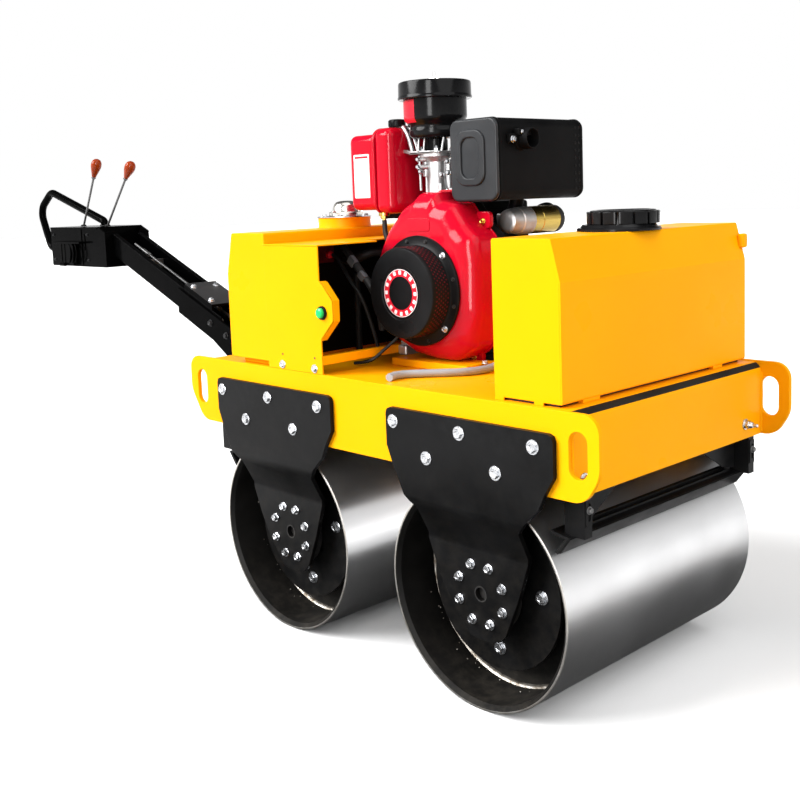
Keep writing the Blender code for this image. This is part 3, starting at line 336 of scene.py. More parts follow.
# %% Worn edges: outward corners, broken up by noise
worn_edges, given, made = shader_group("worn_edges", {"Vector": "Vector", "Amount": "Float"}, {"Mask": "Float"})
corners = worn_edges.nodes.new("ShaderNodeNewGeometry")
corner_range, rub_range = range_node(worn_edges, 0.54, 0.62), range_node(worn_edges, 0.40, 0.70)
rubs = noise_node(worn_edges, 5.0, 0.65, 55.0)
both, scaled = product_node(worn_edges), product_node(worn_edges)
wire(
    worn_edges,
    (corners, "Pointiness", corner_range, "Value"), (given, "Vector", rubs, "Vector"),
    (rubs, "Fac", rub_range, "Value"), (corner_range, "Result", both, 0), (rub_range, "Result", both, 1),
    (both, "Value", scaled, 0), (given, "Amount", scaled, 1), (scaled, "Value", made, "Mask"),
)
print("shared effects:", sorted(group.name for group in bpy.data.node_groups))

# %% [markdown]
# ## One recipe for a finish
#
# Every finish is the same short chain. Object coordinates feed a Mapping node. The mottling
# gives the colour, worn edges and dust are mixed over it, the patches give the roughness, and
# the grain or the grooves give the bump. The Principled shader stays in the material, with its
# constant values set on its own sockets.

# %% The recipe
DUST_COLOUR = (0.42, 0.36, 0.28, 1)


def placed(tree, group, vector, **values):
    """A group node with its values set, fed by a vector output."""
    node = tree.nodes.new("ShaderNodeGroup")
    node.node_tree = group
    for label, value in values.items():
        node.inputs[label.replace("_", " ")].default_value = value
    tree.links.new(vector, node.inputs["Vector"])
    return node


def layer(tree, under, over, mask):
    """Mixes a plain colour over a colour output by a mask output."""
    mix = colour_mix(tree)
    tree.links.new(mask, mix.inputs["Factor"])
    tree.links.new(under, mix.inputs["A"])
    mix.inputs["B"].default_value = over
    return mix.outputs["Result"]


def finish(name, colour, second, gloss, metallic=0.0, mottle=6.0, bump=(600.0, 0.00004), stretch=None,
           dusty=0.0, dust_reach=0.6, edge=None, edge_amount=0.5, specular=0.5, ior=1.5):
    """A material. gloss is the lowest and highest roughness; bump is the grain's scale and height."""
    made = bpy.data.materials.new(name)
    made.use_nodes = True
    tree = made.node_tree
    shader = tree.nodes["Principled BSDF"]
    coordinates, mapping, relief = (tree.nodes.new(f"ShaderNode{kind}") for kind in ("TexCoord", "Mapping", "Bump"))
    vector = mapping.outputs["Vector"]
    colours = placed(tree, mottling, vector, Scale=mottle, Colour=(*colour, 1), Second_Colour=(*second, 1))
    shine = placed(tree, patches, vector, Scale=mottle * 2, Low=gloss[0], High=gloss[1])
    out = colours.outputs["Colour"]
    if edge:
        rubbed = placed(tree, worn_edges, vector, Amount=edge_amount)
        out = layer(tree, out, (*edge, 1), rubbed.outputs["Mask"])
    if dusty:
        settled = placed(tree, dust, coordinates.outputs["Object"], Reach=dust_reach, Amount=dusty)
        out = layer(tree, out, DUST_COLOUR, settled.outputs["Mask"])
    tree.links.new(out, shader.inputs["Base Color"])
    texture = (placed(tree, grooves, vector, Stretch=stretch) if stretch
               else placed(tree, grain, vector, Scale=bump[0]))
    relief.inputs["Distance"].default_value = bump[1]
    relief.inputs["Strength"].default_value = 1.0
    wire(
        tree,
        (coordinates, "Object", mapping, "Vector"), (shine, "Roughness", shader, "Roughness"),
        (texture, "Height", relief, "Height"), (relief, "Normal", shader, "Normal"),
    )
    for socket, value in (("Metallic", metallic), ("Specular IOR Level", specular), ("IOR", ior)):
        shader.inputs[socket].default_value = value
    return made


# %% [markdown]
# ## The finishes
#
# The sheet metal is sprayed gloss yellow, with the faint orange-peel of spray paint. Brackets and
# scrapers are satin black, the handle is a glossier black, and the engine's covers are deep red.
# The drums are turned bare steel, bolts are bright zinc, and the castings are raw aluminium or
# dark iron. The engine's plastics are black and slightly grained.

# %% Paints
YELLOW = finish("yellow paint", (1.0, 0.410, 0.0015), (0.97, 0.385, 0.0015), (0.26, 0.36), mottle=2.5,
                bump=(90.0, 0.00003), dusty=0.015, dust_reach=0.75, edge=(0.90, 0.36, 0.004), edge_amount=0.2,
                specular=0.15, ior=1.2)
BLACK = finish("satin black paint", (0.0022, 0.0022, 0.0024), (0.0044, 0.0044, 0.0047), (0.34, 0.44), mottle=9.0,
               bump=(140.0, 0.00003), dusty=0.02, dust_reach=0.55, edge=(0.05, 0.05, 0.05), edge_amount=0.35,
               specular=0.3, ior=1.25)
RED = finish("red paint", (0.52, 0.003, 0.018), (0.46, 0.002, 0.014), (0.08, 0.14), mottle=5.0,
             bump=(90.0, 0.00002), edge=(0.45, 0.003, 0.012), edge_amount=0.3, specular=0.5, ior=1.25)
HEAT_BLACK = finish("heat-proof black paint", (0.003, 0.003, 0.0033), (0.005, 0.005, 0.0053), (0.42, 0.55),
                    mottle=14.0, bump=(240.0, 0.00006), edge=(0.03, 0.03, 0.03), edge_amount=0.3, specular=0.04)
BLACK_BOLT = finish("blackened bolts", (0.010, 0.010, 0.011), (0.018, 0.018, 0.019), (0.25, 0.38), metallic=0.5,
                    mottle=40.0, bump=(240.0, 0.00004), specular=0.3)
HANDLE_BLACK = finish("gloss black paint", (0.0006, 0.0006, 0.0006), (0.0010, 0.0010, 0.0011), (0.14, 0.22),
                      mottle=9.0, bump=(140.0, 0.00002), edge=(0.02, 0.02, 0.02), edge_amount=0.2, specular=0.15,
                      ior=1.12)
# Painted light: a lighter grey for the handle's top plate where it faces up, for the light falling on it.
PLATE_TOP_PAINTED_LIGHT = finish("handle plate painted top light", (0.022, 0.022, 0.023), (0.032, 0.032, 0.033), (0.30, 0.42), mottle=12.0,
                      bump=(140.0, 0.00004), edge=(0.09, 0.09, 0.09), edge_amount=0.4, specular=0.3)
CAP_GREY = finish("charcoal pressed steel", (0.0155, 0.0168, 0.019), (0.021, 0.0225, 0.025), (0.34, 0.44),
                  mottle=12.0, bump=(240.0, 0.00005), edge=(0.08, 0.08, 0.08), edge_amount=0.3, specular=0.2)
print(len(bpy.data.materials), "materials with the paints")

# %% Metals
DRUM = finish("turned drum steel", (0.80, 0.80, 0.805), (0.70, 0.70, 0.705), (0.30, 0.38), metallic=1.0,
              mottle=4.0, bump=(0, 0.00004), stretch=(3.0, 900.0, 3.0))
DRUM_INSIDE = finish("mill-scale steel", (0.0035, 0.0034, 0.0032), (0.012, 0.011, 0.010), (0.42, 0.60),
                     mottle=5.0, bump=(80.0, 0.0003), dusty=0.04, dust_reach=0.16, specular=0.3, ior=1.25)
# Painted shade: a near-black finish for yellow sheet that faces down or in towards the drums, for the shade there.
PAINTED_SHADE_UNDERSIDE = finish("painted underside shade", (0.012, 0.010, 0.008), (0.020, 0.017, 0.013), (0.5, 0.7), mottle=9.0,
                    bump=(120.0, 0.0001), specular=0.1)
RIM = finish("bare rim steel", (0.62, 0.60, 0.57), (0.45, 0.42, 0.38), (0.30, 0.45), metallic=1.0,
             mottle=30.0, bump=(120.0, 0.0001))
WELD = finish("raw weld", (0.34, 0.32, 0.29), (0.10, 0.08, 0.06), (0.30, 0.50), metallic=0.8, mottle=60.0,
              bump=(220.0, 0.0003))
ZINC = finish("zinc plate", (0.62, 0.63, 0.65), (0.50, 0.51, 0.53), (0.20, 0.34), metallic=1.0,
              mottle=60.0, bump=(300.0, 0.00004))
CHROME = finish("bright plate", (0.80, 0.78, 0.74), (0.70, 0.68, 0.64), (0.08, 0.16), metallic=1.0,
                mottle=30.0, bump=(200.0, 0.00001))
ALUMINIUM = finish("cast aluminium", (0.50, 0.50, 0.50), (0.38, 0.38, 0.38), (0.36, 0.52), metallic=0.85,
                   mottle=25.0, bump=(200.0, 0.0003))
CASTING = finish("dark casting", (0.012, 0.012, 0.013), (0.022, 0.021, 0.020), (0.44, 0.60), metallic=0.3,
                 mottle=20.0, bump=(160.0, 0.0004), dusty=0.06, specular=0.3)
ROD_STEEL = finish("dull drawn steel", (0.16, 0.16, 0.16), (0.10, 0.10, 0.10), (0.34, 0.46), metallic=0.8,
                   mottle=12.0, bump=(120.0, 0.00001), specular=0.3)
BRASS = finish("yellow passivated steel", (0.56, 0.40, 0.10), (0.48, 0.33, 0.08), (0.22, 0.26), metallic=1.0,
               mottle=5.0, bump=(40.0, 0.000004))
print(len(bpy.data.materials), "materials with the metals")

# %% Plastics and rubber
PLASTIC = finish("black moulded plastic", (0.006, 0.006, 0.0065), (0.010, 0.010, 0.0105), (0.26, 0.36),
                 mottle=10.0, bump=(300.0, 0.00004), edge=(0.03, 0.03, 0.03), edge_amount=0.2, specular=0.06)
RUBBER = finish("black rubber", (0.010, 0.010, 0.010), (0.017, 0.017, 0.017), (0.50, 0.68), mottle=20.0,
                bump=(240.0, 0.00010), specular=0.25)
GREY_HOSE = finish("grey hose", (0.33, 0.36, 0.39), (0.28, 0.31, 0.34), (0.36, 0.48), mottle=20.0,
                   bump=(240.0, 0.00005), specular=0.15)
GREEN = finish("green button", (0.0, 0.60, 0.13), (0.0, 0.52, 0.11), (0.20, 0.30), mottle=40.0,
               bump=(300.0, 0.00002), specular=0.4)
ORANGE = finish("orange knob", (0.30, 0.036, 0.003), (0.26, 0.030, 0.003), (0.12, 0.16), mottle=8.0,
                bump=(30.0, 0.000002), specular=0.3, ior=1.35)
SHINY_BLACK = finish("gloss black enamel", (0.005, 0.005, 0.0055), (0.008, 0.008, 0.0085), (0.12, 0.20),
                     mottle=8.0, bump=(120.0, 0.00003), specular=0.11)
# Painted shade: a dark red for red sheet in shade, seen through the starter's holes and at the back of the
# compartment.
PAINTED_SHADE_RED = finish("red in painted shade", (0.10, 0.004, 0.008), (0.05, 0.002, 0.004), (0.5, 0.7), mottle=30.0,
                  bump=(300.0, 0.00005), specular=0.1)
CLAMP_GREY = finish("grey moulded clamp", (0.17, 0.18, 0.19), (0.13, 0.14, 0.15), (0.4, 0.5), mottle=30.0,
                    bump=(240.0, 0.00005), specular=0.2)
# Painted shade: a brownish near-black for the yellow sheet inside the pump compartment, where shade falls.
PAINTED_SHADE_INSIDE = finish("painted compartment shade", (0.0020, 0.0012, 0.0008), (0.0032, 0.0016, 0.0010), (0.55, 0.7),
                      mottle=7.0, bump=(200.0, 0.00005), specular=0.05)
SATIN_CHROME = finish("satin chrome", (0.66, 0.64, 0.60), (0.56, 0.54, 0.50), (0.20, 0.28), metallic=1.0, mottle=12.0,
                      bump=(120.0, 0.00002))
PRINT_RED = finish("printed red", (0.70, 0.012, 0.030), (0.62, 0.010, 0.026), (0.30, 0.40), mottle=20.0,
                   bump=(300.0, 0.00001), specular=0.2)
PRINT_WHITE = finish("printed white", (0.86, 0.86, 0.86), (0.80, 0.80, 0.80), (0.35, 0.45), mottle=20.0,
                     bump=(300.0, 0.00001), specular=0.2)
print(len(bpy.data.materials), "materials")

# %% [markdown]
# ## Tools for shaping
#
# Every new part starts as a plain primitive and is then drawn out, cut and rounded, much
# as a workshop would do it: boxes and bars for stock, a turned shape for round parts, a plate cut
# to an outline for sheet metal, a bent tube for hoses. Small helpers hold those steps, so that each
# part below can say only its own sizes. Each helper leaves the part's object at the origin with
# its place in its mesh.

# %% Helpers to select and finish
NODES = frame["nodes"]
BODY = {node: body for body, members in frame["record"]["behaviour"]["bodies"].items() for node in members}
TOWARD = {"X": Vector((1, 0, 0)), "Y": Vector((0, 1, 0)), "Z": Vector((0, 0, 1)),
          "-X": Vector((-1, 0, 0)), "-Y": Vector((0, -1, 0)), "-Z": Vector((0, 0, -1))}


def only(piece):
    """Selects one piece and makes it the active one."""
    bpy.ops.object.select_all(action="DESELECT")
    piece.select_set(True)
    bpy.context.view_layer.objects.active = piece
    return piece


def modify(piece, kind, **settings):
    """Adds a modifier with its settings and applies it."""
    only(piece)
    step = piece.modifiers.new(kind.lower(), kind)
    for setting, value in settings.items():
        setattr(step, setting, value)
    bpy.ops.object.modifier_apply(modifier=step.name)
    return piece


def smooth(piece, angle=32.0):
    """Smooth shading, except across edges sharper than an angle."""
    only(piece)
    bpy.ops.object.shade_smooth_by_angle(angle=radians(angle))
    return piece


def eased(piece, width, segments=2, angle=32.0):
    """Rounds the sharp edges and smooths the shading, with the large faces kept flat."""
    modify(piece, "BEVEL", width=width, segments=segments, limit_method="ANGLE",
           angle_limit=radians(angle), miter_outer="MITER_ARC")
    smooth(piece, 40.0)
    return modify(piece, "WEIGHTED_NORMAL", keep_sharp=True)


def joined(name, *pieces):
    """Makes one piece of several."""
    bpy.ops.object.select_all(action="DESELECT")
    for piece in pieces:
        piece.select_set(True)
    bpy.context.view_layer.objects.active = pieces[0]
    if len(pieces) > 1:
        bpy.ops.object.join()
    pieces[0].name = pieces[0].data.name = name
    return pieces[0]


def carve(piece, *cutters, operation="DIFFERENCE"):
    """Takes the cutters' shapes out of a piece."""
    for cutter in cutters:
        modify(piece, "BOOLEAN", object=cutter, operation=operation, solver="EXACT")
        bpy.data.objects.remove(cutter)
    return piece


def paint(piece, slot, test):
    """Gives a material slot to the faces whose middle and normal pass a test."""
    for face in piece.data.polygons:
        if test(face.center, face.normal):
            face.material_index = slot
    return piece


def wear(piece, *materials):
    """Gives a piece its materials, in place of any others. Faces keep their slot numbers."""
    slots = [face.material_index for face in piece.data.polygons]
    piece.data.materials.clear()
    for material in materials:
        piece.data.materials.append(material)
    piece.data.polygons.foreach_set("material_index", slots)
    return piece


def stands_for(piece, node, *materials):
    """The piece rides on its node's body, and the node is no longer shown."""
    wear(piece, *materials)
    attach(piece, BODY[node])
    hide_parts(node)
    return piece


def fitted(piece, slot, *materials, body="chassis"):
    """A detail that stands for no node of its own: it rides on a body and wears the given materials. The slot is not
    used.
    """
    wear(piece, *materials)
    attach(piece, body)
    return piece


# %% Opening and closing a mesh for editing
def open_mesh(piece, test=None):
    """Starts editing a piece, with all of it selected, or only the faces that pass a test."""
    only(piece)
    if test:
        bpy.context.tool_settings.mesh_select_mode = (False, False, True)
        for item in (*piece.data.vertices, *piece.data.edges):
            item.select = False
        for face in piece.data.polygons:
            face.select = test(face.center, face.normal)
    bpy.ops.object.mode_set(mode="EDIT")
    if not test:
        bpy.ops.mesh.select_all(action="SELECT")


def close_mesh():
    """Turns every face outwards and ends the editing."""
    bpy.ops.mesh.select_all(action="SELECT")
    bpy.ops.mesh.normals_make_consistent(inside=False)
    bpy.ops.object.mode_set(mode="OBJECT")
    bpy.context.tool_settings.mesh_select_mode = (True, False, False)


# %% Stock: a box, a turned shape, a bar, a plate and a tube
def fresh(name):
    """Names what an operator just made, and puts its place into its mesh."""
    piece = bpy.context.object
    piece.name = piece.data.name = name
    bpy.ops.object.transform_apply(location=True, rotation=True, scale=True)
    return piece


def box(name, low, high, round_by=0.0, segments=2):
    """A block between two corners, with its edges rounded."""
    middle = [(a + b) / 2 for a, b in zip(low, high)]
    bpy.ops.mesh.primitive_cube_add(size=1.0, location=middle, scale=[b - a for a, b in zip(low, high)])
    piece = fresh(name)
    return eased(piece, round_by, segments) if round_by else piece


def turned(name, profile, at=(0, 0, 0), along="Z", sides=48, closed=False, angle=32.0):
    """Draws a circle out ring by ring through (distance, radius) pairs, then lays it along an axis."""
    (height, radius), *rest = profile
    bpy.ops.mesh.primitive_circle_add(vertices=sides, radius=radius, location=(0, 0, height),
                                      fill_type="NOTHING" if closed else "NGON")
    piece = fresh(name)
    open_mesh(piece)
    for next_height, next_radius in rest:
        bpy.ops.mesh.extrude_region_move(TRANSFORM_OT_translate={"value": (0, 0, next_height - height)})
        if next_radius:
            ratio = next_radius / radius
            bpy.ops.transform.resize(value=(ratio, ratio, 1), center_override=(0, 0, next_height))
        else:
            bpy.ops.mesh.merge(type="CENTER")
        height, radius = next_height, next_radius
    bpy.ops.mesh.select_all(action="SELECT")
    bpy.ops.mesh.remove_doubles(threshold=1e-6)
    close_mesh()
    direction = TOWARD[along] if isinstance(along, str) else Vector(along)
    piece.rotation_euler = direction.to_track_quat("Z", "Y").to_euler()
    piece.location = at
    return smooth(fresh(name), angle)


def bar(name, start, end, radius, end_radius=None, ease=0.0006, sides=24):
    """A round bar between two points, with eased rims."""
    along = Vector(end) - Vector(start)
    last = radius if end_radius is None else end_radius
    profile = [(0, radius - ease), (ease, radius), (along.length - ease, last), (along.length, last - ease)]
    return turned(name, profile, start, along, sides)


def plate(name, outline, start, end, across="Y", round_by=0.0, segments=2):
    """Sheet cut to an outline of pairs, which lie across an axis, with its thickness along that axis."""
    place = {"X": lambda a, b: (start, a, b), "Y": lambda a, b: (a, start, b), "Z": lambda a, b: (a, b, start)}
    bpy.ops.mesh.primitive_circle_add(vertices=len(outline), radius=0.1, fill_type="NGON")
    piece = fresh(name)
    for vertex, pair in zip(piece.data.vertices, outline):
        vertex.co = place[across](*pair)
    open_mesh(piece)
    bpy.ops.mesh.extrude_region_move(TRANSFORM_OT_translate={"value": TOWARD[across] * (end - start)})
    close_mesh()
    return eased(piece, round_by, segments) if round_by else piece


def tube(name, route, radius, sides=16, soft=True):
    """A bent round tube through a route of points."""
    line = bpy.data.curves.new(name, "CURVE")
    line.dimensions = "3D"
    line.bevel_depth = radius
    line.bevel_resolution = (sides - 4) // 4
    line.use_fill_caps = True
    run = line.splines.new("NURBS" if soft else "POLY")
    run.points.add(len(route) - 1)
    for point, place in zip(run.points, route):
        point.co = (*place, 1)
    if soft:
        run.order_u, run.use_endpoint_u, run.resolution_u = 4, True, 5
    piece = bpy.data.objects.new(name, line)
    bpy.context.scene.collection.objects.link(piece)
    only(piece)
    bpy.ops.object.convert(target="MESH")
    return smooth(bpy.context.object, 50.0)


# %% Sizes, places and outlines
def mm(*lengths):
    """Pairs of lengths, given in millimetres and made metres."""
    return [(first / 1000, second / 1000) for first, second in zip(lengths[::2], lengths[1::2])]


def at(x, y, z):
    """A place given from the middle of the wheelbase."""
    return (MIDDLE + x, y, z)


def route(*places):
    """Places given from the middle of the wheelbase in millimetres, three numbers for each."""
    return [at(x / 1000, y / 1000, z / 1000) for x, y, z in zip(places[::3], places[1::3], places[2::3])]


def off(place, x, y, z):
    """A place given from another place."""
    return Vector(place) + Vector((x, y, z))


def extent(node, axis):
    """A node's lowest and highest place along an axis."""
    low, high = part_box(node)
    return low["XYZ".index(axis)], high["XYZ".index(axis)]


def middle_of(node, axis):
    """A node's middle along an axis."""
    return sum(extent(node, axis)) / 2


def from_axle(point, axle):
    """How far a point lies from an axle, seen from the side."""
    return hypot(point.x - axle.x, point.z - axle.z)


def outward(side):
    """The axis that leads out of the machine on one side."""
    return "Y" if side > 0 else "-Y"


def soft_corners(corners, radius, steps=6):
    """The corners with each one rounded by an arc. A corner may give its own radius as a third number."""
    result = []
    for index, corner in enumerate(corners):
        here, reach = Vector(corner[:2]), corner[2] if len(corner) > 2 else radius
        if not reach:
            result.append(tuple(here))
            continue
        before = (Vector(corners[index - 1][:2]) - here).normalized()
        after = (Vector(corners[(index + 1) % len(corners)][:2]) - here).normalized()
        half = before.angle(after) / 2
        centre = here + (before + after).normalized() * (reach / sin(half))
        start = here + before * (reach * cos(half) / sin(half)) - centre
        sweep = start.angle_signed(here + after * (reach * cos(half) / sin(half)) - centre)
        for step in range(steps + 1):
            result.append(tuple(centre + Matrix.Rotation(-sweep * step / steps, 2) @ start))
    return result


def ring_of(count, radius, middle=(0, 0), start=0.0):
    """Points evenly round a circle."""
    turns = [start + 2 * pi * number / count for number in range(count)]
    return [(middle[0] + radius * cos(turn), middle[1] + radius * sin(turn)) for turn in turns]


def rectangle(low, high, radius, steps=6):
    """A rounded rectangle between two corners."""
    return soft_corners([low, (high[0], low[1]), high, (low[0], high[1])], radius, steps)


# %% Repeats: a model part, copied to many places
def copy_to(model, matrix):
    """A copy of a model with its own mesh, moved by a matrix."""
    copy = bpy.data.objects.new(model.name, model.data.copy())
    bpy.context.scene.collection.objects.link(copy)
    copy.data.transform(matrix)
    return copy


def repeated(name, model, places, toward, twist=0.6):
    """Copies a model that stands along Z to many places, joined as one piece. Each is turned a little."""
    direction = TOWARD[toward] if isinstance(toward, str) else Vector(toward)
    stand = direction.to_track_quat("Z", "Y").to_matrix().to_4x4()
    return joined(name, *(
        copy_to(model, Matrix.Translation(place) @ stand @ Matrix.Rotation(index * twist, 4, "Z"))
        for index, place in enumerate(places)
    ))


def around(model, count, middle, axis="Z", start=0.0, step=None):
    """Copies of a model turned evenly round an axis through a place. The model itself is used up."""
    turn = 2 * pi / count if step is None else step
    copies = [
        copy_to(model, Matrix.Translation(middle) @ Matrix.Rotation(start + turn * number, 4, axis))
        for number in range(count)
    ]
    bpy.data.objects.remove(model)
    return copies


def bolt(name, hexagon, height, washer=None, thick=0.0016):
    """A hexagon bolt's head on its washer, standing on Z = 0, with a shallow dimple in its top."""
    washer = washer or hexagon * 1.3
    ease = hexagon * 0.13
    ring = turned(name, [(0, washer), (thick * 0.6, washer), (thick, washer - thick * 0.4)], sides=24)
    profile = [(thick * 0.8, hexagon), (height - ease, hexagon), (height, hexagon - ease),
               (height, hexagon * 0.55), (height - ease * 0.6, hexagon * 0.42)]
    return joined(name, ring, turned(name, profile, sides=6, angle=20))


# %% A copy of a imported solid, tidied
FLAT = radians(0.2)


def tidy_copy(node, name):
    """A merged copy of a node's mesh, with its flat faces made whole."""
    copy = copy_to(NODES[node], Matrix())
    copy.name = copy.data.name = name
    copy.data.materials.clear()
    open_mesh(copy)
    bpy.ops.mesh.remove_doubles(threshold=1e-5)
    bpy.ops.mesh.dissolve_limited(angle_limit=FLAT)
    bpy.ops.object.mode_set(mode="OBJECT")
    return copy


def cut_away(piece, test):
    """Deletes the faces that pass a test, closes the holes that they leave and flattens the patches."""
    open_mesh(piece, test)
    bpy.ops.mesh.delete(type="FACE")
    bpy.ops.mesh.select_all(action="SELECT")
    bpy.ops.mesh.fill_holes(sides=0)
    bpy.ops.mesh.dissolve_limited(angle_limit=FLAT)
    close_mesh()
    return piece


def as_packed(node, name, ease, *materials, segments=2, painted=None):
    """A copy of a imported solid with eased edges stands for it. The second material goes where a test says."""
    copy = eased(tidy_copy(node, name), ease, segments)
    if painted:
        paint(copy, 1, painted)
    return stands_for(copy, node, *materials)


CRANK_Z = middle_of("recoil_starter", "Z")
SIDES = (("left", 1), ("right", -1))
ENDS = (("front", FRONT_AXLE, 1), ("rear", REAR_AXLE, -1))
small_screw = bolt("small_screw", 0.0052, 0.0058, 0.0070, 0.0012)
tiny_screw = bolt("tiny_screw", 0.0034, 0.0036, 0.0046, 0.0008)
print("shaping tools ready")

# %% [markdown]
# ## Side plates and chassis sheet
#
# Each side plate is 10 mm steel cut to shape, with a lashing ear and its long slot at both ends.
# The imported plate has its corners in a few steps, so the visible one is cut again to the same outline
# with finer corners. The deck and both end beams are one folded sheet, whose shape is right already; a
# copy gets eased edges. Weld beads join it to the side plates.

# %% Side plates
EAR_SLOT_WIDTH, EAR_SLOT_HEIGHT, EAR_SLOT_FROM_END = 0.037, 0.079, (0.047, 0.042)
SIDE_LOW, SIDE_TOP = extent("frame_side_right", "Z")
EAR_REAR, EAR_FRONT = extent("frame_side_right", "X")
SLOT_Z = SIDE_LOW + 0.0785
SIDE_IN, SIDE_OUT = extent("frame_side_left", "Y")
side_outline = soft_corners(
    [
        (EAR_REAR, SIDE_TOP, 0.030), (EAR_FRONT, SIDE_TOP, 0.032), (EAR_FRONT, SLOT_Z - 0.030, 0.058),
        (EAR_FRONT - 0.030, SIDE_LOW, 0.042), (EAR_REAR + 0.045, SIDE_LOW, 0.045),
        (EAR_REAR, SLOT_Z - 0.010, 0.050),
    ],
    0.0, 10,
)
for word, side in SIDES:
    side_plate = plate(f"side_plate_{word}", side_outline, side * SIDE_IN, side * SIDE_OUT)
    for middle in (EAR_REAR + EAR_SLOT_FROM_END[0], EAR_FRONT - EAR_SLOT_FROM_END[1]):
        half, tall = EAR_SLOT_WIDTH / 2, EAR_SLOT_HEIGHT / 2
        hole = rectangle((middle - half, SLOT_Z - tall), (middle + half, SLOT_Z + tall), half * 0.99, 8)
        carve(side_plate, plate("ear slot", hole, side * (SIDE_IN - 0.01), side * (SIDE_OUT + 0.01)))
    stands_for(eased(side_plate, 0.0014), f"frame_side_{word}", YELLOW)
print("side plates", round(EAR_FRONT - EAR_REAR, 3), "m long")

# %% Deck and end beams, with their weld beads
BEAM_REAR, BEAM_FRONT = extent("chassis_deck", "X")
DECK_TOP = extent("chassis_deck", "Z")[1]
BEAM_SHEET = 0.003
# Painted shade: the deck's downward faces and the end beams' inner faces wear near-black in place of yellow, for the
# shade under the chassis.
as_packed("chassis_deck", "deck_and_beams", 0.0012, YELLOW, PAINTED_SHADE_UNDERSIDE, painted=lambda centre, normal: normal.z < -0.5
          or (abs(normal.x) > 0.5 and BEAM_REAR + BEAM_SHEET < centre.x < BEAM_FRONT - BEAM_SHEET))


def weld_bead(name, start, end, radius, ripples):
    """A run of weld: a bar with many rings, swollen at every second one."""
    along = Vector(end) - Vector(start)
    step = along.length / (2 * ripples)
    profile = [(step * number, radius * (1.0 if number % 2 else 0.8)) for number in range(2 * ripples + 1)]
    profile[0], profile[-1] = (0, radius * 0.4), (along.length, radius * 0.4)
    return turned(name, profile, start, along, 10, angle=60)


BEAD_Y, BEAD_RADIUS = SIDE_IN - 0.0005, 0.0035
beads = [
    weld_bead("bead", (x, side * BEAD_Y, SIDE_LOW + 0.004), (x, side * BEAD_Y, SIDE_TOP - 0.022), BEAD_RADIUS, 26)
    for x in (BEAM_REAR, BEAM_FRONT) for side in (-1, 1)
]
fitted(joined("beam_weld_beads", *beads), "yellow_paint", YELLOW)
print(len(beads), "weld beads")

# %% Studs in the end beams: each holds a scraper's spring, with a domed nut on its washer
SCRAPER_STUD = (-0.2786, 0.2434)
STUD_Z = SIDE_LOW + 0.030
stud = joined(
    "stud",
    turned("collar", mm(0, 11, 2, 11, 2.6, 10.4), sides=24),
    turned("nut", mm(2.4, 8.5, 9.5, 8.5, 10.5, 7.5), sides=6, angle=20),
    turned("dome", mm(10, 7, 14, 6.6, 17.5, 4.8, 19, 2.2, 19.3, 0), sides=24),
    turned("tip", mm(18, 3.5, 26, 3.5, 27, 2.5), sides=16),
)
front_studs = repeated("front_studs", stud, [(BEAM_FRONT, y, STUD_Z) for y in SCRAPER_STUD], "X")
rear_studs = repeated("rear_studs", stud, [(BEAM_REAR, -y, STUD_Z) for y in SCRAPER_STUD], "-X")
studs = fitted(joined("beam_studs", front_studs, rear_studs), "bright_steel", ZINC)
bpy.data.objects.remove(stud)
print("studs", round(max(v.co.x for v in studs.data.vertices) - BEAM_FRONT, 3), "m proud of the beams")

# %% [markdown]
# ## Drum brackets
#
# A folded black plate hangs from the side plate at each drum and carries the drum's fixed hub.
# Five large bolts hold it above and a ring of eight holds the hub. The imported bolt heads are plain
# hexagon stubs, so they are cut away from a copy and the holes closed. Real heads,
# with washer, chamfer and dimple, are modelled once and copied into their places.

# %% Brackets with their bolts
BIG_HEAD, BRACKET_FOLD = 0.0057, 0.045
BRACKET_TOP = extent("drum_bracket_front_right", "Z")[1]
HUB_CIRCLE, HUB_REACH, STUB = 0.057, 0.070, 0.0004
UPPER_BOLTS = ((-0.170, 0.026), (0.0, 0.026), (0.168, 0.026), (-0.084, 0.084), (0.084, 0.084))
BUSH = mm(-4, 12.5, 0.6, 12.5, 0.6, 15, -4, 15, -4, 12.5)
big_bolt = bolt("big_bolt", 0.0100, BIG_HEAD, 0.0132)
hub_bolt = bolt("hub_bolt", 0.0076, 0.0085, 0.0098)
buffer_bolt = bolt("buffer_bolt", 0.0105, 0.0080, 0.0135)
for end, axle, _ in ENDS:
    for word, side in SIDES:
        node = f"drum_bracket_{end}_{word}"
        face = max(abs(y) for y in extent(node, "Y")) - BIG_HEAD
        lower = face - BRACKET_FOLD

        def bolt_head(centre, normal):
            near_hub = from_axle(centre, axle) < HUB_REACH
            return abs(centre.y) > face + STUB or (near_hub and abs(centre.y) > lower + STUB)

        shape = cut_away(tidy_copy(node, f"bracket_{end}_{word}"), bolt_head)
        stands_for(eased(shape, 0.0010), node, BLACK)
        toward = outward(side)
        upper = [(axle.x + across, side * face, BRACKET_TOP - down) for across, down in UPPER_BOLTS]
        hub = [(x, side * lower, z) for x, z in ring_of(8, HUB_CIRCLE, (axle.x, axle.z), pi / 8)]
        heads = repeated("upper", big_bolt, upper, toward), repeated("hub", hub_bolt, hub, toward)
        fitted(joined(f"bracket_bolts_{end}_{word}", *heads), "bright_steel", ZINC)
        bush = turned(f"bracket_bush_{end}_{word}", BUSH, (axle.x, side * lower, axle.z), toward, 32, closed=True)
        fitted(bush, "dark_steel", CASTING)
        as_packed(f"drum_hub_{end}_{word}", f"hub_housing_{end}_{word}", 0.0015, CASTING)
        print(node, "has", len(upper) + len(hub), "bolts")

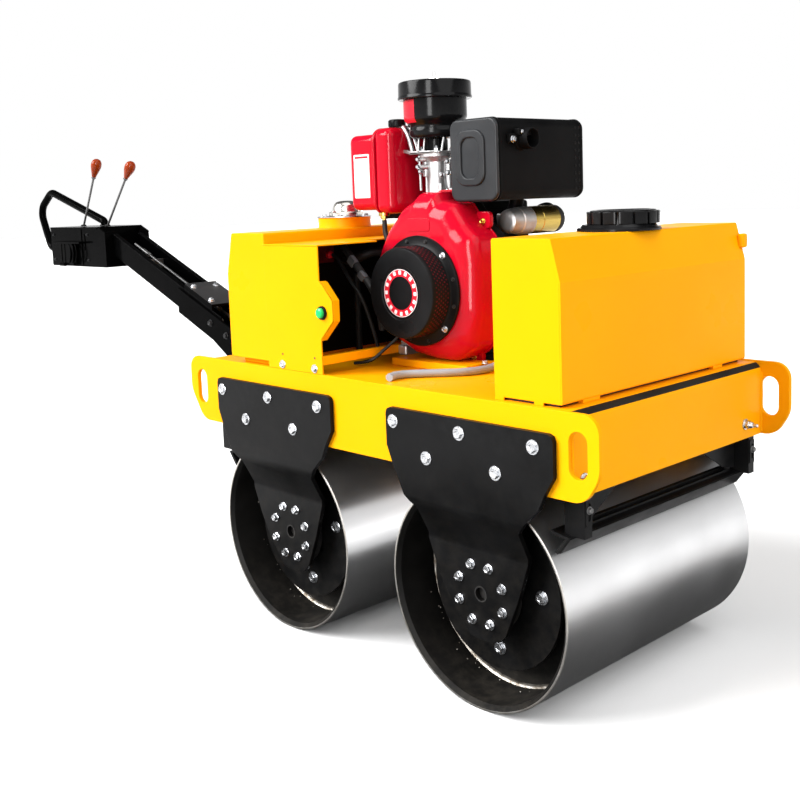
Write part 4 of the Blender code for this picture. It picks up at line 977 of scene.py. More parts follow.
# %% [markdown]
# ## Drums
#
# A drum is a rolled and welded steel shell that is turned smooth outside. Inside, a
# flat bulkhead is welded in near each end, and the bare wall keeps its dark mill scale and dust. The
# packed shell has 64 flat sides, which would show as facets in the long highlight, so the visible
# one is turned again in 192 steps. Only the outer corner of the rim is rubbed bright: that
# is the thin line round each drum's end.

# %% The shells
DRUM_RADIUS, DRUM_HALF = 0.2125, extent("front_drum", "Y")[1]
DRUM_WALL, BULKHEAD_OUT, BULKHEAD, SLEEVE = 0.012, 0.195, 0.010, 0.060
RIM_LAND, RIM_WIDE = 0.0042, 0.0014


def drum_profile():
    """The shell's closed section as (distance along the axle, radius), from one rim to the other."""
    inner = DRUM_RADIUS - DRUM_WALL
    end = [
        (BULKHEAD_OUT - BULKHEAD, SLEEVE), (BULKHEAD_OUT, SLEEVE), (BULKHEAD_OUT, inner - 0.004),
        (BULKHEAD_OUT + 0.003, inner - 0.001), (BULKHEAD_OUT + 0.007, inner), (DRUM_HALF - 0.008, inner),
        (DRUM_HALF - 0.001, DRUM_RADIUS - RIM_LAND - 0.0022), (DRUM_HALF, DRUM_RADIUS - RIM_LAND),
        (DRUM_HALF, DRUM_RADIUS - 0.0012), (DRUM_HALF - 0.0003, DRUM_RADIUS - 0.0005),
        (DRUM_HALF - 0.0012, DRUM_RADIUS),
    ]
    other = [(-y, radius) for y, radius in reversed(end)]
    middle = [(-BULKHEAD_OUT + BULKHEAD, inner), (BULKHEAD_OUT - BULKHEAD, inner)]
    return end + other + middle + end[:1]


for end, axle, _ in ENDS:
    shell = turned(f"{end}_drum_shell", drum_profile(), axle, "Y", 192, closed=True, angle=25)
    paint(shell, 1, lambda centre, _: from_axle(centre, axle) < DRUM_RADIUS - RIM_LAND)
    paint(shell, 2, lambda centre, _: abs(centre.y) > DRUM_HALF - RIM_WIDE
          and from_axle(centre, axle) > DRUM_RADIUS - RIM_LAND)
    stands_for(shell, f"{end}_drum", DRUM, DRUM_INSIDE, RIM)
    print(shell.name, len(shell.data.polygons), "faces")

# %% [markdown]
# ### Welds, spatter and end discs
#
# The bulkhead is held by a hand-laid fillet weld. It is a turned ring whose
# surface a cloud texture roughens, with seeded grains of spatter beside it. The end disc turns with
# the drum; it sits on four rubber buffers, whose large bolts show through the gap beside the bracket.

# %% Weld rings and spatter
WELD_RIPPLE, SPATTER_GRAINS, SPATTER_REACH, SPATTER_SIZE = 0.0022, 46, (0.006, 0.030), (0.0008, 0.0019)
spatter_noise = bpy.data.textures.new("weld ripple", "CLOUDS")
spatter_noise.noise_scale = 0.006
random_places = Random(7)
INNER = DRUM_RADIUS - DRUM_WALL
BEAD = [(0.000, INNER + 0.001), (0.000, INNER - 0.006), (0.003, INNER - 0.0048), (0.0055, INNER - 0.0025),
        (0.007, INNER + 0.001), (0.000, INNER + 0.001)]
for end, axle, _ in ENDS:
    rings = []
    for side in (-1, 1):
        ring = turned("ring", BEAD, (axle.x, side * BULKHEAD_OUT, axle.z), outward(side), 240, closed=True, angle=70)
        rings.append(modify(ring, "DISPLACE", texture=spatter_noise, strength=WELD_RIPPLE, mid_level=0.5))
        for number in range(SPATTER_GRAINS):
            turn, out = random_places.uniform(0, 2 * pi), random_places.uniform(*SPATTER_REACH)
            size = random_places.uniform(*SPATTER_SIZE)
            radius = INNER - 0.0003
            bpy.ops.mesh.primitive_ico_sphere_add(
                subdivisions=1, radius=size,
                location=(axle.x + radius * cos(turn), side * (BULKHEAD_OUT + out), axle.z + radius * sin(turn)),
            )
            rings.append(smooth(fresh("grain"), 80))
    fitted(joined(f"{end}_drum_welds", *rings), "drum_steel", WELD, body=f"{end}_roller")
    print(end, "drum has", 2 * SPATTER_GRAINS, "grains of spatter")

# %% End discs, buffers and their bolts
DISC_FACE, BUFFER_CIRCLE, BUFFER_START = 0.243, 0.112, {"front": radians(5), "rear": radians(12)}
BUFFER_END, BUFFER_REACH, HEAD_REACH = 0.2345, 0.075, 0.060
for end, axle, _ in ENDS:
    def buffer_head(centre, normal):
        return abs(centre.y) > DISC_FACE + STUB and from_axle(centre, axle) > HEAD_REACH

    discs = eased(cut_away(tidy_copy(f"{end}_drum_axle", f"{end}_discs_and_axle"), buffer_head), 0.0012)
    paint(discs, 1, lambda centre, _: BULKHEAD_OUT < abs(centre.y) < BUFFER_END
          and from_axle(centre, axle) > BUFFER_REACH)
    stands_for(discs, f"{end}_drum_axle", BLACK, RUBBER)
    places = ring_of(4, BUFFER_CIRCLE, (axle.x, axle.z), BUFFER_START[end])
    heads = [repeated("heads", buffer_bolt, [(x, side * DISC_FACE, z) for x, z in places], outward(side))
             for side in (-1, 1)]
    fitted(joined(f"{end}_buffer_bolts", *heads), "bright_steel", ZINC, body=f"{end}_roller")
for model in (big_bolt, hub_bolt, buffer_bolt):
    bpy.data.objects.remove(model)
print("end discs at", DISC_FACE, "m from the middle")

# %% [markdown]
# ## Scrapers
#
# A leaning blade lies close along each drum and strips off what sticks to it. The packed
# blade and posts keep their shape in a copy with eased edges. A facing strip, two rails along the
# ledge, a slotted plate with its bolt on every post and a gusset beside it are added.

# %% Scraper blades with their strips, bolts and gussets
LEAN, OUT = Vector((0.6157, 0, 0.7880)), Vector((0.7880, 0, -0.6157))
EDGE_OUT, EDGE_UP = 0.1807, 0.3344
STRIP_HALF, STRIP = 0.289, ((0.004, 0.0058), (0.0415, 0.0058), (0.0415, 0.0086), (0.004, 0.0086))
RAIL_HALF, RAIL_X, RAILS = 0.250, EDGE_OUT + 0.0259, ((0.010, 0.003), (0.022, 0.006))
POST_AT, POST_FOOT, POST_TOP = 0.268, 0.3675, 0.437
POST_FACES = {"front": 0.2345, "rear": 0.2525}
GUSSET_X, GUSSET_ENDS = EDGE_OUT + 0.0200, (POST_AT - 0.009, POST_AT - 0.050, POST_AT - 0.150)
TAB, SLOT_CUT, BOLT_Z = (0.0085, 0.384, 0.432), (0.0038, 0.393, 0.424), 0.412
for end, axle, sign in ENDS:
    node = f"{end}_scraper"
    as_packed(node, f"{end}_scraper_blade", 0.0008, BLACK)

    def spot(along, out):
        """A point on the blade's section: so far up from its edge, so far out from its inner face."""
        place = Vector((EDGE_OUT, 0, EDGE_UP)) + LEAN * along + OUT * out
        return axle.x + sign * place.x, place.z

    extras = [plate("strip", [spot(*pair) for pair in STRIP], -STRIP_HALF, STRIP_HALF, round_by=0.0008)]
    for inward, rise in RAILS:
        x = axle.x + sign * (RAIL_X - inward)
        low, high = (x - 0.0015, -RAIL_HALF, POST_FOOT - 0.004), (x + 0.0015, RAIL_HALF, POST_FOOT + rise)
        extras.append(box("rail", low, high, 0.0008))
    x, face = axle.x + sign * GUSSET_X, axle.x + sign * POST_FACES[end]
    for side in (-1, 1):
        foot, knee, reach = (side * y for y in GUSSET_ENDS)
        gusset = [(foot, POST_FOOT + 0.004), (foot, POST_TOP), (reach, POST_TOP), (knee, POST_FOOT + 0.012)]
        extras.append(plate("gusset", gusset, x - 0.002, x + 0.002, "X", 0.0006))
        (half, low, high), (slot_half, slot_low, slot_high) = TAB, SLOT_CUT
        post = side * POST_AT
        tab = rectangle((post - half, low), (post + half, high), 0.003)
        cut = rectangle((post - slot_half, slot_low), (post + slot_half, slot_high), 0.0037, 5)
        slot_plate = plate("slot plate", tab, face - 0.0002 * sign, face + 0.0022 * sign, "X")
        extras.append(eased(carve(slot_plate, plate("slot", cut, face - 0.01, face + 0.01, "X")), 0.0005))
    fitted(joined(f"{end}_scraper_fittings", *extras), "black_paint", BLACK)
    heads = [(face + 0.0022 * sign, side * POST_AT, BOLT_Z) for side in (-1, 1)]
    bolts = repeated(f"{end}_scraper_post_bolts", small_screw, heads, "X" if sign > 0 else "-X")
    fitted(bolts, "dark_steel", ROD_STEEL)
    print(node, "carries", len(extras), "fittings")

# %% [markdown]
# ## Water tank
#
# The tank is welded from folded sheet, with its front bent back near the top. It stands on low
# pads, so a dark slot runs under it, and a small lifting eye sticks out at the far corner. The body
# is one plate cut to the side outline and drawn out across the machine.

# %% Tank body, pads and eye, with a dark block of painted shade under it
(TANK_REAR, TANK_NEAR, _), (TANK_FRONT, TANK_SIDE, TANK_TOP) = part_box("water_tank")
TANK_LOW, PAD_LOW, PAD_TOP = DECK_TOP + 0.0055, DECK_TOP + 0.0003, DECK_TOP + 0.0065
BEND_Z, BEND_BACK = TANK_TOP - 0.072, 0.019
FOOT_Y, SEAM_Y, SEAM_X = 0.2935, 0.2945, TANK_FRONT - 0.004
EYE_LOW, EYE_TOP = CRANK_Z + 0.068, CRANK_Z + 0.096
tank_side = soft_corners(
    [(TANK_REAR, TANK_LOW), (TANK_FRONT, TANK_LOW), (TANK_FRONT, BEND_Z), (TANK_FRONT - BEND_BACK, TANK_TOP),
     (TANK_REAR, TANK_TOP)], 0.004, 3,
)
tank = plate("tank", tank_side, TANK_NEAR, TANK_SIDE, "Y", 0.0016)
pads = [
    box("pad", (TANK_FRONT - 0.030, y, PAD_LOW), (TANK_FRONT - 0.0015, y + wide, PAD_TOP), 0.0006)
    for y, wide in ((-0.2376, 0.0475), (0.1756, 0.0335))
] + [
    box("pad", (x, side * FOOT_Y - 0.0015, PAD_LOW), (x + 0.020, side * FOOT_Y + 0.0005, PAD_TOP))
    for x in (TANK_REAR + 0.001, TANK_FRONT - 0.060) for side in (-1, 1)
]
eye = box("eye", (TANK_FRONT - 0.010, TANK_SIDE - 0.014, EYE_LOW), (TANK_FRONT + 0.003, TANK_SIDE + 0.005, EYE_TOP),
          0.004, 3)
seams = [bar("seam", (SEAM_X, side * SEAM_Y, TANK_LOW + 0.004), (SEAM_X, side * SEAM_Y, BEND_Z), 0.0011)
         for side in (-1, 1)]
stands_for(joined("water_tank_body", tank, *pads, eye, *seams), "water_tank", YELLOW)
# Painted shade: a dark block fills the slot under the tank, where there is only shade.
shade_block = box("water_tank_shade_block", (TANK_REAR + 0.008, TANK_NEAR + 0.008, PAD_LOW),
             (TANK_FRONT - 0.012, TANK_SIDE - 0.008, PAD_TOP), 0.0005)
fitted(shade_block, "black_paint", CASTING)

# %% Fluted cap on its flange
CAP_X, CAP_Y, BASE_OFF = MIDDLE + 0.4165, -0.0150, 0.0055
RISE = extent("water_tank_cap", "Z")[1] - TANK_TOP
cap_base = turned(
    "cap_base", mm(0.3, 76.5, 4, 76.5, 6.2, 74.5, 7, 70, 12, 66.5, 12, 40),
    (CAP_X - BASE_OFF, CAP_Y - BASE_OFF, TANK_TOP), "Z", 96,
)
cap_body = turned(
    "cap_body",
    [(0.0100, 0.0590), (RISE - 0.008, 0.0590), (RISE - 0.0035, 0.0605), (RISE - 0.0012, 0.0590),
     (RISE - 0.0002, 0.0550), (RISE - 0.0002, 0.0500), (RISE - 0.0022, 0.0480), (RISE - 0.0022, 0.002)],
    (CAP_X, CAP_Y, TANK_TOP), "Z", 96,
)
LUGS, LUG_SPAN, LUG_STEPS, LUG_RADII = 14, 0.86, 6, (0.0662, 0.0560)
lugs = []
for number in range(LUGS):
    turns = [2 * pi * (number + LUG_SPAN * (step / LUG_STEPS - 0.5)) / LUGS for step in range(LUG_STEPS + 1)]
    outer, inner = (
        [(CAP_X + radius * cos(turn), CAP_Y + radius * sin(turn)) for turn in turns] for radius in LUG_RADII)
    lugs.append(plate("lug", outer + inner[::-1], TANK_TOP + 0.0122, TANK_TOP + RISE - 0.0030, "Z", 0.0016))
stands_for(joined("fluted_cap", cap_base, cap_body, *lugs), "water_tank_cap", SHINY_BLACK)
print(LUGS, "lugs on the cap")

# %% [markdown]
# ## Oil tank housing and pump compartment
#
# Behind the engine stands the oil tank's housing, with a sheet panel on each side and a roof in
# front of it. The panels are bolted to the side plates, and the angled tab carries the green start
# button. Inside, the shade is painted: the panels' inner faces and the roof's underside are near-black
# there, a thin near-black sheet covers the housing's front, and only a few hoses and grey clamps
# catch the light.

# %% Housing, panels and roof
HOUSING_FRONT, HOUSING_SIDE = extent("oil_tank_housing", "X")[1], extent("oil_tank_housing", "Y")[1]
ROOF_LOW = extent("compartment_roof", "Z")[0]
PANEL_OUT = abs(extent("compartment_panel_right", "Y")[0])
# Painted shade: the panels' inner faces ahead of this place are painted near-black for the compartment's shade.
PAINTED_SHADE_FRONT, LIP_DEEP = MIDDLE - 0.106, 0.016
PANEL_BOLT_Z, PIN_Z = 0.5955, 0.6175
as_packed("oil_tank_housing", "oil_tank_housing_shape", 0.0022, YELLOW, segments=3)
# Painted shade: a thin near-black sheet over the housing's front inside the compartment, where there is only shade.
shade_sheet = box("compartment_shade_sheet", (HOUSING_FRONT + 0.0004, 0.004 - HOUSING_SIDE, DECK_TOP + 0.014),
            (HOUSING_FRONT + 0.0024, HOUSING_SIDE - 0.004, ROOF_LOW - 0.0005), 0.0006)
fitted(shade_sheet, "black_paint", PAINTED_SHADE_INSIDE)
# Painted shade: the roof's downward faces are painted near-black.
as_packed("compartment_roof", "roof_sheet", 0.0007, YELLOW, PAINTED_SHADE_INSIDE, painted=lambda _, normal: normal.z < -0.9)
as_packed("compartment_cross_bar", "cross_bar", 0.0015, YELLOW)
as_packed("engine_mount", "mount_block", 0.0020, YELLOW)
panel_bolt = bolt("panel_bolt", 0.0066, 0.0050, 0.0092, 0.0014)
pin_hole = turned("pin_hole", mm(0, 2.4, 0.4, 2.2, 0.4, 1), sides=12)
TAB_LIP = mm(-100.5, 775.2, -93.5, 773.2, -60, 737.9, -60, 696.1, -102.8, 654.2,
             -102.8, 658.6, -63.4, 697.6, -63.4, 736.4, -95, 770.4, -100.5, 772)
lip_outline = [(MIDDLE + x, z) for x, z in TAB_LIP]
for word, side in SIDES:
    # Painted shade: each panel's inner faces inside the compartment are painted near-black.
    as_packed(f"compartment_panel_{word}", f"panel_{word}", 0.0007, YELLOW, PAINTED_SHADE_INSIDE,
              painted=lambda centre, normal: normal.y * side < -0.5 and centre.x < PAINTED_SHADE_FRONT)
    lip = plate(f"tab_lip_{word}", lip_outline, side * PANEL_OUT, side * (PANEL_OUT - LIP_DEEP), "Y", 0.0006)
    fitted(lip, "yellow_paint", YELLOW)
    face = side * (PANEL_OUT + 0.0001)
    bolts = [at(x, face, PANEL_BOLT_Z) for x in (-0.235, -0.128)]
    pins = [at(x, face, PIN_Z) for x in (-0.233, -0.126)]
    fitted(repeated(f"panel_bolts_{word}", panel_bolt, bolts, outward(side)), "bright_steel", ZINC)
    fitted(repeated(f"panel_pins_{word}", pin_hole, pins, outward(side)), "dark_steel", CASTING)
print("compartment roof", round(ROOF_LOW - DECK_TOP, 3), "m above the deck")

# %% Start button
BUTTON = (middle_of("start_button", "X"), extent("start_button", "Y")[1] + 0.0002, middle_of("start_button", "Z"))
DOME = mm(4, 10.5, 7.5, 10.5, 10, 9.6, 11.4, 7, 11.8, 3, 11.9, 0)
BEZEL = mm(0, 14, 3, 14, 4.8, 13.2, 5.2, 11.8, 5, 10.8)
stands_for(turned("push_button", DOME, BUTTON, "-Y", 48), "start_button", GREEN)
fitted(turned("button_bezel", BEZEL, BUTTON, "-Y", 48), "black_plastic", PLASTIC)
print("button at", [round(value, 3) for value in BUTTON])

# %% Filler neck, its screwed flange and the breather cap
SET_IN, NECK_RADIUS = 0.0065, 0.0640
NECK_LOW, NECK_TOP = extent("oil_filler_neck", "Z")
NECK_TOP -= SET_IN
neck_x, neck_y = (middle_of("oil_breather_cap", axis) - SET_IN for axis in "XY")
NECK = [(NECK_LOW, 0.0618), (NECK_LOW + 0.0015, 0.0612), (NECK_TOP - 0.001, 0.0612), (NECK_TOP, 0.0604),
        (NECK_TOP, 0.0300)]
BREATHER = mm(0.2, 40, 5, 40.5, 8.5, 40.5, 10, 39, 10.2, 33, 13, 31.5, 20, 30.5, 27, 28, 32.5, 22.5, 35.2, 14,
              35.8, 6, 35.9, 0)
FLANGE = [(0.0001, 0.036), (0.0001, NECK_RADIUS - 0.0004), (0.0018, NECK_RADIUS - 0.0004),
          (0.0022, NECK_RADIUS - 0.0010), (0.0022, 0.0440), (0.0001, 0.0425), (0.0001, 0.036)]
cap_at = (neck_x + 0.003, neck_y + 0.003, NECK_TOP + 0.0020)
stands_for(turned("neck_ring", NECK, (neck_x, neck_y, 0), "Z", 96), "oil_filler_neck", YELLOW)
clip = box("clip", (0.0290, -0.0040, 0.0070), (0.0420, 0.0040, 0.0130), 0.0012)
clips = around(clip, 3, cap_at, start=0.5, step=2.1)
breather = joined("breather_dome", turned("breather_dome", BREATHER, cap_at, "Z", 64), *clips)
stands_for(breather, "oil_breather_cap", SATIN_CHROME)
ring = turned("filler_flange", FLANGE, (neck_x, neck_y, NECK_TOP), "Z", 72, closed=True)
fitted(ring, "bright_steel", ZINC)
flange_screw = bolt("flange_screw", 0.0036, 0.0042, 0.0048, 0.0008)
screws = [(x, y, NECK_TOP + 0.0022) for x, y in ring_of(6, NECK_RADIUS - 0.007, (neck_x, neck_y), 0.2)]
fitted(repeated("flange_screws", flange_screw, screws, "Z"), "bright_steel", ZINC)
print("breather cap stands", round(cap_at[2] + BREATHER[-1][0], 3), "m high")

# %% [markdown]
# ## Hydraulic pump and hoses
#
# The pump hangs under the belt guard and feeds the drums' motors. Its round body has a flange ring,
# ports and bolts. The hoses are black rubber with crimped ends, held by two grey clamps that show
# in the opening beside the recoil starter.

# %% Pump with its rings, bolts and pressure hose
PUMP_X, PUMP_Z = middle_of("hydraulic_pump", "X"), CRANK_Z - 0.044
pump = eased(tidy_copy("hydraulic_pump", "pump_body"), 0.0015)
rings = [turned("ring", mm(0, 44.8, 1, 45.2, 7, 45.2, 8, 44.8), (PUMP_X, y, PUMP_Z), "Y", 64) for y in (0.020, 0.110)]
stands_for(joined("pump_body", pump, *rings), "hydraulic_pump", CASTING)
screws = [(x, -0.0103, z) for x, z in ring_of(4, 0.032, (PUMP_X, PUMP_Z), 0.785)]
fitted(repeated("pump_bolts", small_screw, screws, "-Y"), "bright_steel", ZINC)
stands_for(smooth(tidy_copy("pump_hose", "pressure_hose"), 50), "pump_hose", RUBBER)
crimp = bar("hose_crimp", (PUMP_X, 0.010, CRANK_Z + 0.0216), (PUMP_X, 0.010, CRANK_Z + 0.0340), 0.0135)
fitted(crimp, "bright_steel", ZINC)
print("pump at", round(PUMP_X - MIDDLE, 3), "m from the middle")

# %% Return hose, its clamps, a control cable and the red plug
return_hose = tube("return_hose", route(
    -286, -140, 816, -264, -139, 815.5, -250, -138, 803, -233.5, -138, 783, -218, -138, 764, -205.4, -138, 749,
    -192, -136, 738, -180, -125, 700, -176, -110, 650, -174, -100, 610), 0.0042, 12)
feed_hose = tube("feed_hose", route(
    -232, -138, 833, -216, -138, 818, -200, -138, 801, -184, -138, 785, -169, -138, 770, -154, -134, 752,
    -146, -124, 725, -150, -110, 690, -156, -100, 650), 0.0085, 12)
cable = tube("cable", route(
    -52, -128, 668, -60, -140, 648, -74, -150, 632, -89, -158, 619, -97.5, -166, 608, -102, -176, 600,
    -112, -184, 594, -130, -190, 590, -150, -190, 588), 0.0035, 10)
post = bar("post", at(-0.278, -0.064, 0.592), at(-0.278, -0.064, 0.766), 0.0075)
fitted(joined("compartment_hoses", return_hose, feed_hose, post, cable), "hose_rubber", RUBBER)
CLAMPS = ((0.0105, 0.0095, at(-0.200, -0.138, 0.801)), (0.0095, 0.0080, at(-0.169, -0.138, 0.770)))
clamps = [
    around(box("hose clamp", (-half, -0.0095, -tall), (half, 0.003, tall), 0.0015), 1, place, "Y", radians(42))[0]
    for half, tall, place in CLAMPS
]
fitted(joined("hose_clamps", *clamps), "grey_rubber", CLAMP_GREY)
plug_at = at(-0.2855, -0.142, 0.8150)
plug = joined("red_plug", turned("collar", mm(0.5, 11, 3, 11, 4, 10), plug_at, "X", 24),
              turned("knob", mm(3, 8, 9, 8.8, 14, 8, 16.5, 5, 17, 0), plug_at, "X", 24))
fitted(plug, "red_paint", PRINT_RED)
# Painted shade: the red part at the back of the opening is given the dark red of red sheet in shade.
reservoir = box("red_reservoir", at(-0.2855, -0.171, 0.797), at(-0.2805, -0.125, 0.8345), 0.002)
fitted(reservoir, "red_paint", PAINTED_SHADE_RED)
stands_for(smooth(tidy_copy("deck_drain_hose", "drain_hose"), 50), "deck_drain_hose", GREY_HOSE)
print("plug at", [round(value, 3) for value in plug_at])

# %% Belt guard on the far side
GUARD_FACE, VENT_HALF, VENT_WIDE = extent("belt_guard", "Y")[1], 0.030, 0.008
as_packed("belt_guard", "guard_cover", 0.0060, BLACK, segments=4)
vents = [
    plate("slot", rectangle((x, CRANK_Z - VENT_HALF), (x + VENT_WIDE, CRANK_Z + VENT_HALF), 0.0038, 4),
          GUARD_FACE - 0.0005, GUARD_FACE - 0.0001)
    for x in (MIDDLE + off for off in (-0.036, -0.020, -0.004, 0.012, 0.028))
]
fitted(joined("guard_vents", *vents), "dark_steel", CASTING)
places = (*ring_of(3, 0.066, (MIDDLE, CRANK_Z), -0.9), (PUMP_X - 0.020, CRANK_Z - 0.060))
screws = [(x, GUARD_FACE, z) for x, z in places]
fitted(repeated("guard_bolts", small_screw, screws, "Y"), "bright_steel", ZINC)
for model in (panel_bolt, pin_hole, flange_screw):
    bpy.data.objects.remove(model)
print("guard has", len(vents), "slots and", len(screws), "bolts")

# %% [markdown]
# ## Engine block
#
# A single upright cylinder stands on the crankcase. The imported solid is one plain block, so the
# visible engine is built up from its parts in the same space: a cast crankcase with ribs and
# a sump flange, a stack of thin cooling fins round the cylinder, and the rocker cover with its
# nuts. Fins are one plate, modelled once and copied upwards.

# %% Crankcase, cylinder fins and rocker cover: each block has its corners, its rounding and the rounding's steps
MOUNT_TOP, HEAD_TOP = extent("engine_mount", "Z")[1], extent("intake_casting", "Z")[0]
BLOCK_NEAR, BLOCK_FAR = extent("engine_block", "Y")
CASE_LOW, FIN_LOW, FIN_APART, FINS = MOUNT_TOP + 0.012, 0.794, 0.0115, 9
block_parts = [
    box(name, at(*low), at(*high), round_by, segments) for name, low, high, round_by, segments in (
        ("crankcase", (-0.092, BLOCK_NEAR, CASE_LOW), (0.122, BLOCK_FAR - 0.004, 0.786), 0.008, 3),
        ("sump", (-0.095, BLOCK_NEAR, MOUNT_TOP + 0.0004), (0.125, BLOCK_FAR, MOUNT_TOP + 0.014), 0.003, 2),
        ("core", (-0.070, -0.040, 0.780), (0.068, 0.140, 0.902), 0.010, 3),
        ("cover", (-0.078, -0.038, 0.892), (0.058, 0.148, HEAD_TOP - 0.0006), 0.007, 3),
        ("lip", (-0.084, -0.044, 0.898), (0.064, 0.154, 0.903), 0.0015, 2),
        *(("rib", (x, BLOCK_NEAR + 0.010, CASE_LOW), (x + 0.005, BLOCK_FAR, 0.735), 0.0015, 2)
          for x in (-0.0955, 0.1205)),
        *(("rib", (-0.094, y, CASE_LOW), (0.124, y + 0.005, 0.72), 0.0015, 2) for y in (0.0, 0.045, 0.09, 0.135)),
    )
]
fin = box("fin", at(-0.090, -0.050, 0), at(0.088, 0.160, 0.0028), 0.0010)
fins = [copy_to(fin, Matrix.Translation((0, 0, FIN_LOW + number * FIN_APART))) for number in range(FINS)]
bpy.data.objects.remove(fin)
rest = rectangle((MIDDLE - 0.200, -0.045), (MIDDLE - 0.080, 0.045), 0.008)
tank_rest = plate("rest", rest, HEAD_TOP - 0.0320, HEAD_TOP - 0.0224, "Z", 0.0012)
block = joined("engine_block_cast", *block_parts, *fins, tank_rest)
stands_for(block, "engine_block", HEAT_BLACK)
print(block.name, len(block.data.polygons), "faces")

# %% Bolts and small castings on the engine
CASE_BOLTS = [(y, z) for y in (0.02, 0.07, 0.16) for z in (0.65, 0.745)]
COVER_NUTS, SUMP_BOLTS = ((-0.066, -0.026), (-0.066, 0.136), (0.046, -0.026)), ((-0.104, -0.090), (0.134, -0.090))
engine_bolts = joined(
    "engine_bolts",
    repeated("cover_nuts", small_screw, [at(x, y, HEAD_TOP - 0.0008) for x, y in COVER_NUTS], "Z"),
    repeated("case_bolts", small_screw, [at(0.1228, y, z) for y, z in CASE_BOLTS], "X"),
    repeated("rear_bolts", small_screw, [at(-0.0928, y, z) for y, z in CASE_BOLTS], "-X"),
    repeated("sump_bolts", small_screw, [at(x, y, MOUNT_TOP + 0.0003) for x, y in SUMP_BOLTS], "Z"),
)
fitted(engine_bolts, "bright_steel", ZINC)
foot = joined(
    "crankcase_foot",
    box("foot a", at(-0.104, -0.106, MOUNT_TOP + 0.0004), at(-0.078, -0.056, MOUNT_TOP + 0.022), 0.004, 3),
    box("foot b", at(-0.100, -0.100, MOUNT_TOP + 0.018), at(-0.084, -0.062, MOUNT_TOP + 0.032), 0.003, 2),
)
fitted(foot, "cast_aluminium", ALUMINIUM)
print(len(CASE_BOLTS) * 2 + len(COVER_NUTS) + len(SUMP_BOLTS), "bolts on the engine")

# %% [markdown]
# ## Fan shroud
#
# The red shroud is a pressed steel snail round the flywheel fan. Its front face is flat with a small
# hump and a pressed panel, and its edges roll over softly, which makes the broad soft highlight on
# its right flank. A bevel that wide would stop at the outline's shortest edge, so the rim is
# drawn in ring by ring instead. A thin flange behind it takes the bolts, and a black back housing
# closes it.

# %% The shroud
SHROUD_NEAR, SHROUD_FAR = extent("engine_fan_shroud", "Y")
SHROUD_CENTRE = Vector((0.0, 0.02))
SNAIL_REACH, SNAIL_RIM, SNAIL_STEPS, SNAIL_SHIFT = 0.148, 0.034, 12, -0.05
SHROUD = mm(-34, -136, 22, -144, 79, -144, 132, -112, 148, -44, 150, 56, 143, 108, 112, 137, 84, 174, 50, 182,
            41, 201, -8, 201, -22, 190, -56, 173, -102, 127, -136, 70, -146, 20, -146, -44, -126, -84, -92, -110)
CORNERS = (30, 50, 55, 50, 90, 90, 30, 30, 16, 8, 5, 5, 8, 40, 100, 100, 90, 70, 50, 30)


def shroud_outline(grow):
    """The snail's outline, grown outwards by a fixed amount. Each corner has its radius in millimetres."""
    grown = []
    for (x, z), radius in zip(SHROUD, CORNERS):
        away = (Vector((x, z)) - SHROUD_CENTRE).normalized() * grow
        grown.append((MIDDLE + x + away.x, CRANK_Z + z + away.y, radius / 1000))
    return soft_corners(grown, 0.0)


def domed(piece, end, reach, centre):
    """Draws a plate's near face in ring by ring along Y, so that its rim turns into a flat face."""
    open_mesh(piece, lambda middle, normal: abs(middle.y - end - reach) < 1e-5 and abs(normal.y) > 0.9)
    depth, size = end + reach, 1.0
    for step in range(1, SNAIL_STEPS + 1):
        turn = pi / 2 * step / SNAIL_STEPS
        next_depth = end + reach * (1 - sin(turn))
        next_size = 1 - reach * (1 - cos(turn)) / SNAIL_REACH
        bpy.ops.mesh.extrude_region_move(TRANSFORM_OT_translate={"value": (0, next_depth - depth, 0)})
        ratio = next_size / size
        bpy.ops.transform.resize(value=(ratio, 1, ratio), center_override=(centre[0], next_depth, centre[1]))
        depth, size = next_depth, next_size
    close_mesh()
    return modify(smooth(piece, 60), "WEIGHTED_NORMAL", keep_sharp=True)


snail = plate("snail", shroud_outline(-0.0005), SHROUD_FAR - 0.004, SHROUD_NEAR + SNAIL_RIM)
domed(snail, SHROUD_NEAR, SNAIL_RIM, (MIDDLE + SNAIL_SHIFT, CRANK_Z + SHROUD_CENTRE.y))
flange = plate("flange", shroud_outline(0.003), SHROUD_FAR, SHROUD_FAR - 0.0035, round_by=0.0010)
pressed = [
    plate(name, rectangle((MIDDLE + low[0], low[1]), (MIDDLE + high[0], high[1]), radius), start, end, round_by=ease)
    for name, low, high, radius, start, end, ease in (
        ("panel", (-0.032, 0.866), (0.034, 0.892), 0.006, SHROUD_NEAR + 0.012, SHROUD_NEAR - 0.0012, 0.0009),
        ("ear", (0.096, 0.868), (0.136, 0.902), 0.010, SHROUD_FAR, SHROUD_FAR - 0.010, 0.002),
        ("low ear", (0.060, 0.588), (0.106, 0.625), 0.008, SHROUD_FAR, SHROUD_FAR - 0.010, 0.002),
    )
]
stands_for(joined("fan_shroud", snail, flange, *pressed), "engine_fan_shroud", RED)
back = plate("fan_housing_back", shroud_outline(0.002), SHROUD_FAR + 0.0004, -0.030, round_by=0.0025, segments=3)
fitted(back, "black_paint", BLACK)
SHROUD_BOLTS = ((0.116, 0.882), (0.082, 0.604))
EDGE_BOLTS = ((-0.110, 0.860), (-0.146, 0.742), (-0.124, 0.655))
shroud_bolts = joined(
    "shroud_bolts",
    repeated("big", small_screw, [at(x, SHROUD_FAR - 0.010, z) for x, z in SHROUD_BOLTS], "-Y"),
    repeated("edge", tiny_screw, [at(x, SHROUD_FAR - 0.0035, z) for x, z in EDGE_BOLTS], "-Y"),
)
fitted(shroud_bolts, "bright_steel", BRASS)
print("shroud has", len(back.data.polygons), "faces in its back")

